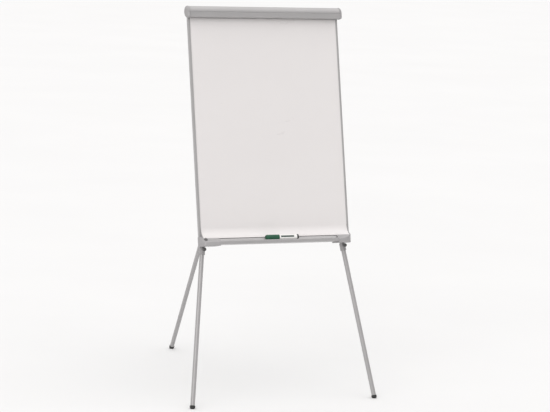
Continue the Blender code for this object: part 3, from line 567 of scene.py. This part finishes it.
def carved(made, tool, place, operation="DIFFERENCE"):
    """Cuts a form out of a piece, or joins it on."""
    bmesh.ops.recalc_face_normals(tool, faces=tool.faces)
    mesh = bpy.data.meshes.new("tool")
    tool.to_mesh(mesh)
    tool.free()
    cutter = link(bpy.data.objects.new("tool", mesh))
    cutter.matrix_world = place
    change = made.modifiers.new("Carve", "BOOLEAN")
    change.object = cutter
    change.operation = operation
    change.solver = "EXACT"
    bpy.context.view_layer.update()
    graph = bpy.context.evaluated_depsgraph_get()
    made.data = bpy.data.meshes.new_from_object(made.evaluated_get(graph))
    made.modifiers.clear()
    made.data.shade_smooth()
    made.data.set_sharp_from_angle(angle=radians(30))
    bpy.data.objects.remove(cutter)
    return made


def dress(names, finish, width=0.0004):
    """Gives CAD nodes their finish and softens their edges."""
    for name in names:
        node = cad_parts[name]
        node.data.materials.clear()
        node.data.materials.append(finish)
        weld = node.modifiers.new("Weld", "WELD")
        weld.merge_threshold = 2e-5
        if width:
            soften(node, width)


# The board


def make_board():
    """The lacquered sheet, narrower where it curves forward between the cheeks, and what lies behind it."""
    heights = (SHEET_TOP, SWEEP_START + 2 * GAP, SWEEP_START + GAP)
    line = [(SHEET_MIDDLE, z) for z in heights]
    line += arc(SWEEP_CENTRE, SWEEP_RADIUS, 0, -SWEEP_ANGLE, 40)
    halves = [PANEL_HALF] * 2 + [SWEEP_HALF] * (len(line) - 2)
    settle(
        "board_face", sheet_form(line, SHEET, halves), BOARD, "board", WHITE,
        ["writing_surface"], angle=25,
    )
    dress(["board_core"], FIBRE, 0.0003)
    dress(["back_sheet"], ZINC, 0.0)
    dress(["frame_left", "frame_right", "frame_top"], GREY, 0.0005)


def make_tray():
    """The folded channel, from the shelf under the board round to the top of the cove, and its ends."""
    half = TRAY_WALL / 2
    floor = GROOVE_FLOOR - half
    front = TRAY_FRONT + half
    back = FRAME_BACK - half
    line = [
        (TRAY_SHELF, TRAY_HEIGHT - half),
        (back, TRAY_HEIGHT - half),
        (back, TRAY_UNDER + half),
        (front, TRAY_UNDER + half),
        (front, TRAY_LIP_TOP - half),
        (front + 0.0040, TRAY_LIP_TOP - half),
        (front + 0.0052, floor),
        (COVE_FOOT, floor),
        (SWEEP_END + COVE_TUCK, COVE_TOP),
    ]
    line = fillet(line, 0.0020)
    form = sheet_form(line, TRAY_WALL, [TRAY_END] * len(line))
    settle("tray_channel", form, BOARD, "board", GREY, ["pen_tray"], bevel=0.0003, angle=28)
    make_tray_end(-1, "left", LEFT_CORNER)
    make_tray_end(1, "right", RIGHT_CORNER)
    make_plug()


def cap_slope():
    """The facet on top of a tray end, from its low front edge to its crest."""
    return (TRAY_FRONT + 0.0030, TRAY_LIP_TOP - 0.0010), (SWEEP_END - 0.0040, COVE_TOP + 0.0045)


def tray_end_outline():
    """A tray end in section, from its foot over the facet and crest to the shelf."""
    low, high = cap_slope()
    corners = [
        (FRAME_BACK, -0.0006),
        (CAP_FRONT, -0.0006),
        (CAP_FRONT, low[1] - 0.0030),
        low,
        high,
        (high[0] + 0.0004, COVE_TOP - 0.0010),
        (TRAY_SHELF, TRAY_HEIGHT),
        (FRAME_BACK, TRAY_HEIGHT),
    ]
    return fillet(corners, 0.0030, closed=True)


def corner_form(side, corner):
    """What is cut away to round a tray end's front corner in plan."""
    wide, deep = corner
    past, steps = 0.004, 40
    plan = [(CAP_OUTER + past, CAP_FRONT - past), (CAP_OUTER - wide, CAP_FRONT - past)]
    for k in range(steps + 1):
        turn = pi / 2 * k / steps
        plan.append((CAP_OUTER - wide + wide * sin(turn), CAP_FRONT + deep * (1 - cos(turn))))
    plan.append((CAP_OUTER + past, CAP_FRONT + deep))
    form = bmesh.new()
    levels = [[form.verts.new((side * x, y, z)) for x, y in plan] for z in (-0.01, 0.06)]
    return skin(form, levels, capped=True)


def cheek_outline():
    """The side plate that closes the end of the curved sheet."""
    radius = SWEEP_RADIUS - (SHEET_MIDDLE - CHEEK_BACK)
    curve = arc(SWEEP_CENTRE, radius, -3, -SWEEP_ANGLE, 32)
    return [(CHEEK_BACK, CHEEK_FOOT), (CHEEK_BACK, SWEEP_START), *curve, (SWEEP_END, TRAY_LIP_TOP)]


def make_tray_end(side, name, corner):
    """A moulded tray end, rounded in plan at its front corner, with a cheek beside the curved sheet."""
    ends = sorted((side * (TRAY_END + GAP), side * CAP_OUTER))
    form = prism_form(tray_end_outline(), *ends)
    made = settle("tray_end_" + name, form, BOARD, "board", GREY_PLASTIC, ["tray_cap_" + name])
    carved(made, corner_form(side, corner), BOARD)
    inner = SWEEP_HALF + GAP
    ends = sorted((side * inner, side * (inner + CHEEK_WALL)))
    carved(made, prism_form(cheek_outline(), *ends), BOARD, "UNION")
    soften(made, 0.0007)


def make_plug():
    """The domed button on the left tray end's facet."""
    low, high = cap_slope()
    slope = atan2(high[1] - low[1], high[0] - low[0])
    place = BOARD @ at(BUTTON_X, (low[0] + high[0]) / 2, (low[1] + high[1]) / 2)
    dome = [
        (0, 0.0066),
        (0.0030, 0.0064),
        (0.0058, 0.0052),
        (0.0076, 0.0030),
        (0.0080, 0.0012),
        (0.0080, 0.0004),
        (0, 0.0004),
    ]
    lathe(
        "tray_button", dome, place @ turned(slope, "X"), "board", DARK, ["tray_plug"],
        steps=48, round_by=0.002, angle=60,
    )


# The paper clamp


def clamp_front(grow):
    """The bar in section, grown by an amount: over the top, down the front past a groove, and under."""
    radius = CLAMP_RADIUS + grow
    front = CLAMP_CENTRE[0] - radius
    bottom = CLAMP_BOTTOM - grow
    height = CLAMP_CENTRE[1]
    return [
        *arc(CLAMP_CENTRE, radius, 78, 180, 32),
        (front, height - 0.0014),
        (front + 0.0014, height - 0.0022),
        (front + 0.0014, height - 0.0044),
        (front, height - 0.0052),
        (front + 0.0006, bottom + 0.0090),
        *arc((front + 0.0086, bottom + 0.0080), 0.0080, 190, 262, 14),
    ]


def shifted(points):
    """Board (Y, Z) points, measured from the clamp's pivot."""
    return [(y - CLAMP_PIVOT[0], z - CLAMP_PIVOT[1]) for y, z in points]


def clamp_end_form(side):
    """A domed end of the clamp, drawn in towards the track as it goes out, with a seam groove."""
    corners = [
        *clamp_front(CLAMP_CAP_PROUD),
        (TRACK_BACK - 0.0040, CLAMP_BOTTOM - CLAMP_CAP_PROUD),
        (TRACK_BACK - 0.0028, CLAMP_BOTTOM + 0.0020),
        (TRACK_BACK - 0.0012, TRACK_TOP),
        (TRACK_BACK + 0.0010, TRACK_TOP + 0.0140),
    ]
    outline = shifted(fillet(corners, 0.0012, closed=True, steps=3))
    middle = shifted([(TRACK_BACK - 0.0010, TRACK_MIDDLE + 0.0030)])[0]
    stations = [(0.0, 0.94), (0.0016, 0.94), (0.0017, 0.990), (CLAMP_CAP_START, 1.0)]
    bulge, steps = 2.3, 24
    for k in range(1, steps + 1):
        reach = sin(pi / 2 * k / steps)
        scale = (1 - min(1.0, reach) ** bulge) ** (1 / bulge)
        stations.append((CLAMP_CAP_START + CLAMP_CAP_DOME * reach, max(0.02, scale)))
    form = bmesh.new()
    rings = []
    for out, scale in stations:
        x = side * (HALF_WIDTH + GAP + out)
        ring = [[m + (c - m) * scale for c, m in zip(point, middle)] for point in outline]
        rings.append([form.verts.new((x, y, z)) for y, z in ring])
    return skin(form, rings, capped=True)


def make_clamp():
    """The bar and its ends, with the pad, track, knuckles and rod."""
    half = CLAMP_WALL / 2
    line = clamp_front(-half) + [(FACE - 0.0088, CLAMP_BOTTOM + half)]
    form = sheet_form(shifted(line), CLAMP_WALL, [HALF_WIDTH] * len(line))
    settle("clamp_cover", form, CLAMP, "clamp", GREY, ["clamp_bar"], bevel=0.0004, angle=28)
    for side, name in ((-1, "left"), (1, "right")):
        settle(
            "clamp_end_" + name, clamp_end_form(side), CLAMP, "clamp", GREY_PLASTIC,
            ["clamp_cap_" + name], bevel=0.0003, angle=40,
        )
    dress(["clamp_pad"], RUBBER, 0.0006)
    dress(["clamp_track"], ALUMINIUM, 0.0003)
    dress(["clamp_knuckle_left", "clamp_knuckle_right"], STEEL, 0.0003)
    rod = [(0, ROD_HALF), (ROD_RADIUS, ROD_HALF), (ROD_RADIUS, -ROD_HALF), (0, -ROD_HALF)]
    lathe("hinge_rod", rod, CLAMP @ ALONG_X, "board", STEEL, ["clamp_rod"], steps=32, round_by=0.0005)


def make_spring(side, name):
    """A torsion spring on the rod, with the round wire swept along its turns."""
    per_turn = 28
    radius = ROD_RADIUS + SPRING_WIRE + 0.0004
    curve = bpy.data.curves.new("torsion_spring_" + name, "CURVE")
    curve.dimensions = "3D"
    curve.bevel_depth = SPRING_WIRE
    curve.bevel_resolution = 4
    curve.use_fill_caps = True
    spline = curve.splines.new("POLY")
    spline.points.add(SPRING_TURNS * per_turn)
    for i, point in enumerate(spline.points):
        turn = 2 * pi * i / per_turn
        along = side * (SPRING_START - (SPRING_WIRE + SPRING_PITCH * i / per_turn))
        point.co = (along, radius * cos(turn), radius * sin(turn), 1)
    curve.materials.append(STEEL)
    made = link(bpy.data.objects.new("torsion_spring_" + name, curve))
    made.matrix_world = CLAMP
    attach(made, "board")
    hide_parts("clamp_spring_" + name)


def make_hook(name):
    """A slider in the track with a headed peg to hang paper on."""
    low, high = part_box("paper_hook_" + name)
    x = (low.x + high.x) / 2
    room = 0.0018
    front, back = TRACK_FRONT + room, TRACK_BACK - room
    bottom, top = TRACK_BOTTOM + room, TRACK_TOP - room
    slab = fillet([(front, bottom), (back, bottom), (back, top), (front, top)], 0.0012, closed=True)
    form = prism_form(slab, x - HOOK_HALF, x + HOOK_HALF)
    body = "hook_" + name
    settle("hook_slider_" + name, form, BOARD, body, BLACK, ["paper_hook_" + name], bevel=0.0004)
    peg = [
        (0.0034, 0),
        (0.0034, 0.0130),
        (0.0042, 0.0150),
        (0.0042, 0.0170),
        (0.0030, 0.0178),
        (0, 0.0178),
    ]
    place = BOARD @ at(x, front + 0.0005, TRACK_MIDDLE) @ TO_FRONT
    lathe("hook_peg_" + name, peg, place, body, BLACK, steps=40, round_by=0.0006)


# The legs


def tube(name, matrix, body, outer, inner, low, high):
    """A tube that stands for the CAD tube of the same place, such as upper_tube_left for upper_left."""
    ring = [(outer, high), (outer, low), (inner, low), (inner, high)]
    place, side = name.split("_")
    nodes = [f"{place}_tube_{side}"]
    lathe(name, ring, matrix, body, GREY, nodes, steps=72, round_by=0.0004, closed=True)


def grip(name, matrix, body):
    """A thumb knob with flutes round its rim, a dished face and its stud."""
    flutes, per_flute = 14, 8
    steps = flutes * per_flute
    face = BOSS_REACH + GAP
    outer = face + KNOB_LENGTH
    radius = KNOB_RADIUS
    corners = [
        (0, outer - 0.0016),
        (radius * 0.52, outer - 0.0016),
        (radius * 0.62, outer),
        (radius * 0.90, outer),
        (radius, outer - 0.0016),
        (radius, face + 0.0022),
        (radius * 0.80, face),
        (0.0042, face),
        (0, face),
    ]
    form = bmesh.new()
    rings = []
    for r, z in fillet(corners, 0.0006):
        if r < AXIS:
            rings.append([form.verts.new((0, 0, z))])
            continue
        bite = 0.0009 * max(0.0, (r / radius - 0.75) / 0.25)
        ring = []
        for k in range(steps):
            wave = 0.5 - 0.5 * cos(2 * pi * k / per_flute)
            reach = r - bite * wave ** 2
            turn = 2 * pi * k / steps
            ring.append(form.verts.new((reach * cos(turn), reach * sin(turn), z)))
        rings.append(ring)
    settle("grip_" + name, skin(form, rings), matrix, body, DARK, ["knob_" + name], angle=50)
    tip = LOWER_RADIUS + GAP
    stud = [
        (0, face),
        (STUD_RADIUS, face),
        (STUD_RADIUS, tip + 0.0008),
        (STUD_RADIUS - 0.0007, tip + 0.0001),
        (0, tip + 0.0001),
    ]
    lathe("stud_" + name, stud, matrix, body, STEEL, steps=32)


def ferrule(name, matrix, body, low, facing):
    """The collar: a turned sleeve with grip rings, and the boss that the knob screws into."""
    top = low + COLLAR_LENGTH
    step = low + COLLAR_STEP - GAP
    r = COLLAR_RADIUS
    profile = [
        (r - 0.0010, top), (r, top - 0.0010), (r, top - 0.0030), (r - 0.0005, top - 0.0034),
        (r - 0.0005, low + 0.0072), (r, low + 0.0066), (r, low + 0.0054), (r - 0.0006, low + 0.0050),
        (r - 0.0006, low + 0.0042), (r, low + 0.0038), (r, low + 0.0010), (r - 0.0010, low),
        (LOWER_RADIUS + GAP, low), (LOWER_RADIUS + GAP, step),
        (UPPER_RADIUS + GAP, step), (UPPER_RADIUS + GAP, top),
    ]
    lathe(
        "ferrule_" + name, profile, matrix, body, GREY_PLASTIC, ["collar_" + name],
        steps=72, closed=True, angle=30,
    )
    knob = matrix @ at(0, 0, top - KNOB_DROP) @ turned(facing * -pi / 2, "X")
    hole, neck, flare = 0.0029, 0.0055, 0.0062
    boss = [
        (hole, UPPER_RADIUS + 0.0012),
        (flare, UPPER_RADIUS + 0.0012),
        (flare, COLLAR_RADIUS + 0.0003),
        (neck, COLLAR_RADIUS + 0.0014),
        (neck, BOSS_REACH),
        (hole, BOSS_REACH),
    ]
    lathe("boss_" + name, boss, knob, body, GREY_PLASTIC, steps=48, round_by=0.0004, closed=True)
    return knob


def rubber_foot(name, matrix, body):
    """The foot: a ribbed rubber ferrule with a worn flat where it stands."""
    r = FOOT_RADIUS
    stem = LOWER_BORE - GAP
    top = FOOT_SHOULDER
    profile = [(0, FOOT_STEM), (stem, FOOT_STEM), (stem, top), (r - 0.0008, top), (r, top - 0.0008)]
    for rib in (0.0024, 0.0004):
        profile += [(r, rib + 0.0012), (r - 0.0005, rib + 0.0008)]
        profile += [(r - 0.0005, rib + 0.0005), (r, rib + 0.0001)]
    profile += arc((0, 0), r, -4, -90, 24)[:-1] + [(0, -r)]
    form = lathe_form(profile, 72)
    floor = matrix.inverted() @ Vector((0, 0, 0.00002))
    up = (matrix.to_3x3().inverted() @ Vector((0, 0, 1))).normalized()
    geometry = form.verts[:] + form.edges[:] + form.faces[:]
    cut = bmesh.ops.bisect_plane(form, geom=geometry, plane_co=floor, plane_no=up, clear_inner=True)
    rim = [item for item in cut["geom_cut"] if isinstance(item, bmesh.types.BMEdge)]
    bmesh.ops.contextual_create(form, geom=rim)
    settle("shoe_" + name, form, matrix, body, RUBBER, ["foot_" + name], angle=35)


def lower_leg(name, matrix, body, low):
    """The sliding tube, with the plug in its top end and the foot in its bottom end."""
    top = low + OVERLAP
    tube("lower_" + name, matrix, body, LOWER_RADIUS, LOWER_BORE, FOOT_SHOULDER + GAP, top)
    stem = LOWER_BORE - GAP
    plug = [
        (0, top + 0.0030),
        (LOWER_RADIUS, top + 0.0030),
        (LOWER_RADIUS, top + GAP),
        (stem, top + GAP),
        (stem, top - 0.020),
        (0, top - 0.020),
    ]
    lathe(
        "slide_plug_" + name, plug, matrix, body, BLACK, ["guide_plug_" + name],
        steps=48, round_by=0.0007,
    )
    rubber_foot(name, matrix, body)


def make_front_leg(name, matrix):
    """An upper tube with its cap, collar and knob, and the lower leg inside it."""
    top = FRONT_HIGH
    tube("upper_" + name, matrix, "board", UPPER_RADIUS, UPPER_BORE, FRONT_LOW, top)
    stem = UPPER_BORE - GAP
    cap = [
        (0, top + 0.0062),
        (UPPER_RADIUS * 0.6, top + 0.0060),
        (UPPER_RADIUS, top + 0.0040),
        (UPPER_RADIUS, top + GAP),
        (stem, top + GAP),
        (stem, top - 0.018),
        (0, top - 0.018),
    ]
    lathe(
        "end_cap_" + name, cap, matrix, "board", BLACK, ["upper_cap_" + name],
        steps=64, round_by=0.0012,
    )
    knob = ferrule(name, matrix, "board", FRONT_LOW - COLLAR_STEP, -1)
    grip(name, knob, name + "_knob")
    lower_leg(name, matrix, name + "_lower", FRONT_LOW)


def make_rear_leg():
    """The folding leg, from the plug at its hinge down to its foot."""
    end = REAR_PIVOT + REAR_ABOVE
    seat = end - 0.003
    tube("upper_rear", REAR, "rear_leg", UPPER_RADIUS, UPPER_BORE, REAR_LOW, seat - GAP)
    stem = UPPER_BORE - GAP
    plug = [
        (0, end),
        (UPPER_RADIUS, end),
        (UPPER_RADIUS, seat),
        (stem, seat),
        (stem, REAR_PIVOT - 0.016),
        (0, REAR_PIVOT - 0.016),
    ]
    lathe("rear_end_plug", plug, REAR, "rear_leg", BLACK, ["rear_eye_plug"], steps=64, round_by=0.0006)
    knob = ferrule("rear", REAR, "rear_leg", REAR_LOW - COLLAR_STEP, 1)
    grip("rear", knob, "rear_knob")
    lower_leg("rear", REAR, "rear_lower", REAR_LOW)


# The back of the board


def web_depth(board_z):
    """Depth of the middle of the head rail's web, which is parallel to the front legs."""
    leg = LEG_STANDOFF + board_z * tan(LEAN_DIFFERENCE)
    return leg - (UPPER_RADIUS + GAP + RAIL_WALL / 2) / cos(LEAN_DIFFERENCE)


def cross_form(radius, height):
    """The tapered recess in a screw's head."""
    arm, width = radius * 0.52, radius * 0.13
    plus = [
        (-width, -arm), (width, -arm), (width, -width), (arm, -width), (arm, width), (width, width),
        (width, arm), (-width, arm), (-width, width), (-arm, width), (-arm, -width), (-width, -width),
    ]
    form = bmesh.new()
    floor = [form.verts.new((x * 0.6, y * 0.6, height * 0.25)) for x, y in plus]
    mouth = [form.verts.new((x, y, height + 0.0005)) for x, y in plus]
    return skin(form, [floor, mouth], capped=True)


def screw(name, place, radius=0.0048, height=0.0024):
    """A pan-head screw with a cross recess."""
    head = [(0, height), (radius * 0.75, height), (radius, height * 0.35), (radius, 0), (0, 0)]
    form = lathe_form(fillet(head, radius * 0.18), 40)
    made = settle(name, form, place, "board", STEEL)
    return carved(made, cross_form(radius, height), place)


def make_head_rail():
    """A top-hat rail on the board's back, and the screws through its flanges."""
    foot = GAP + RAIL_WALL / 2
    low, high = RAIL_HEIGHT - RAIL_HALF_WEB, RAIL_HEIGHT + RAIL_HALF_WEB
    line = [
        (foot, high + RAIL_STEP + RAIL_FLANGE),
        (foot, high + RAIL_STEP),
        (web_depth(high), high),
        (web_depth(low), low),
        (foot, low - RAIL_STEP),
        (foot, low - RAIL_STEP - RAIL_FLANGE),
    ]
    line = fillet(line, 0.0030)
    form = sheet_form(line, RAIL_WALL, [RAIL_HALF_LENGTH] * len(line))
    settle("cross_rail", form, BOARD, "board", GREY, ["head_rail"], bevel=0.0003, angle=28)
    face = foot + RAIL_WALL / 2 + GAP
    for i, (x, z) in enumerate(((-1, 1), (1, 1), (-1, -1), (1, -1)), start=1):
        place = BOARD @ at(x * RAIL_SCREW_X, face, RAIL_HEIGHT + z * RAIL_SCREW_RISE) @ TO_BACK
        made = screw(f"rail_pan_head_{i}", place)
        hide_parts(f"rail_screw_{i}")


def make_fixings():
    """Saddles, clevis and pin, and the screws that hold the saddles."""
    saddles = [f"{place}_saddle_{side}" for place in ("top", "low") for side in ("left", "right")]
    dress(saddles, GREY_PLASTIC, 0.0006)
    dress(["rear_clevis"], STEEL, 0.0005)
    pin = [
        (0, PIN_HALF + 0.0020),
        (PIN_HEAD_RADIUS, PIN_HALF + 0.0020),
        (PIN_HEAD_RADIUS, PIN_SEAT),
        (PIN_RADIUS, PIN_SEAT),
        (PIN_RADIUS, -PIN_HALF),
        (0, -PIN_HALF),
    ]
    pivot = REAR @ at(0, 0, REAR_PIVOT) @ ALONG_X
    lathe("hinge_pin", pin, pivot, "board", STEEL, ["rear_pin"], steps=48, round_by=0.0006)
    for side, name in ((-1, "left"), (1, "right")):
        top = PLANE @ at(side * TOP_SADDLE_X, SADDLE_OUTSIDE, TOP_SADDLE_UP)
        low = BOARD @ at(side * LOW_SADDLE_X, LOW_SADDLE_Y, LOW_SADDLE_Z)
        for where, matrix in (("top", top), ("low", low)):
            for index, end in ((1, -1), (2, 1)):
                place = matrix @ at(end * 0.0150, 0, 0) @ TO_BACK
                screw(f"{where}_saddle_screw_{name}_{index}", place, 0.0032, 0.0016)


# The marker


def make_pen_cap():
    """The green cap, with a step near its closed end and a ring near its mouth."""
    r, end = MARKER_RADIUS, MARKER_CAP
    profile = [
        (0, 0), (r - 0.0020, 0), (r - 0.0004, 0.0016), (r - 0.0004, 0.0060), (r, 0.0064),
        (r, end - 0.0050), (r - 0.0005, end - 0.0046), (r - 0.0005, end - 0.0036),
        (r, end - 0.0032), (r, end), (r - 0.0012, end), (r - 0.0012, 0.0020), (0, 0.0020),
    ]
    lathe("pen_cap", profile, MARKER, "marker_cap", GREEN, ["marker_cap"], steps=64, round_by=0.0004)


def make_marker():
    """The capped marker that lies in the groove."""
    r = MARKER_RADIUS
    neck, bore = MARKER_CAP + GAP, r - 0.0016
    seat = MARKER_SEAT
    tip = 0.0225
    make_pen_cap()
    barrel = [
        (0, seat - GAP),
        (r, seat - GAP),
        (r, neck),
        (bore, neck),
        (bore, 0.034),
        (0.0045, 0.030),
        (0.0045, tip),
        (0, tip),
    ]
    lathe("pen_barrel", barrel, MARKER, "marker", BARREL, ["marker_barrel"], steps=64, round_by=0.0004)
    plug = [(0, MARKER_LENGTH), (r - 0.0003, MARKER_LENGTH), (r - 0.0003, seat), (0, seat)]
    lathe("pen_end", plug, MARKER, "marker", BLACK, ["marker_end_plug"], steps=64, round_by=0.0014)
    nib = [(0, tip - GAP), (0.0025, tip - GAP), (0.0025, 0.0140), (0.0012, 0.0105), (0, 0.0105)]
    lathe("pen_nib", nib, MARKER, "marker", FELT, ["marker_nib"], steps=32, round_by=0.0005)


# Stage, light and camera


def make_stage():
    """A plain pale floor that runs out of view on every side."""
    form = bmesh.new()
    bmesh.ops.create_circle(form, cap_ends=True, segments=96, radius=150.0)
    mesh = bpy.data.meshes.new("floor")
    form.to_mesh(mesh)
    form.free()
    made, tree, shader, coords = blank("pale_floor", 0.75)
    slow = noise(tree, coords, 0.8, 3.0)
    pale = tones(tree, slow, ((0.3, (0.715, 0.715, 0.715)), (0.7, (0.73, 0.73, 0.73))))
    tree.links.new(pale, shader.inputs["Base Color"])
    mesh.materials.append(made)
    link(bpy.data.objects.new("floor", mesh))


def make_light():
    """A room that is brightest overhead, and one broad soft key light from the front left."""
    world = bpy.data.worlds.new("studio")
    bpy.context.scene.world = world
    world.use_nodes = True
    tree = world.node_tree
    sky = tree.nodes["Background"]
    sky.inputs["Color"].default_value = (1.0, 0.99, 0.985, 1)
    coords = tree.nodes.new("ShaderNodeTexCoord").outputs["Generated"]
    split = tree.nodes.new("ShaderNodeSeparateXYZ")
    tree.links.new(coords, split.inputs["Vector"])
    height = spread(tree, split.outputs["Z"], 0.46, 1.95, 0.3, 1.0)
    tree.links.new(height, sky.inputs["Strength"])
    sun = bpy.data.lights.new("key", "SUN")
    sun.energy = 0.72
    sun.angle = radians(40)
    made = link(bpy.data.objects.new("key", sun))
    made.rotation_euler = Vector((-0.85, -0.80, 0.50)).to_track_quat("Z", "Y").to_euler()


def make_camera():
    """A long lens from the front left, a little above the board's middle and rolled slightly."""
    yaw, pitch, roll = radians(26.082), radians(7.924), radians(2.593)
    distance = 11.3392
    target = Vector((0.2048, 0, 0.7461))
    ahead = Vector((sin(yaw) * cos(pitch), cos(yaw) * cos(pitch), -sin(pitch)))
    right = Vector((cos(yaw), -sin(yaw), 0))
    up = right.cross(ahead)
    across = right * cos(roll) + up * sin(roll)
    above = -right * sin(roll) + up * cos(roll)
    data = bpy.data.cameras.new("camera")
    data.sensor_width = 36.0
    data.lens = 168.77
    data.clip_end = 500.0
    camera = link(bpy.data.objects.new("camera", data))
    turn = Matrix((across, above, -ahead)).transposed()
    camera.matrix_world = Matrix.Translation(target - ahead * distance) @ turn.to_4x4()
    bpy.context.scene.camera = camera


bpy.context.scene.view_settings.view_transform = "Standard"
make_stage()
make_light()
make_camera()
make_board()
make_tray()
make_clamp()
make_spring(-1, "left")
make_hook("left")
make_spring(1, "right")
make_hook("right")
make_front_leg("left", LEFT)
make_front_leg("right", RIGHT)
make_rear_leg()
make_head_rail()
make_fixings()
make_marker()
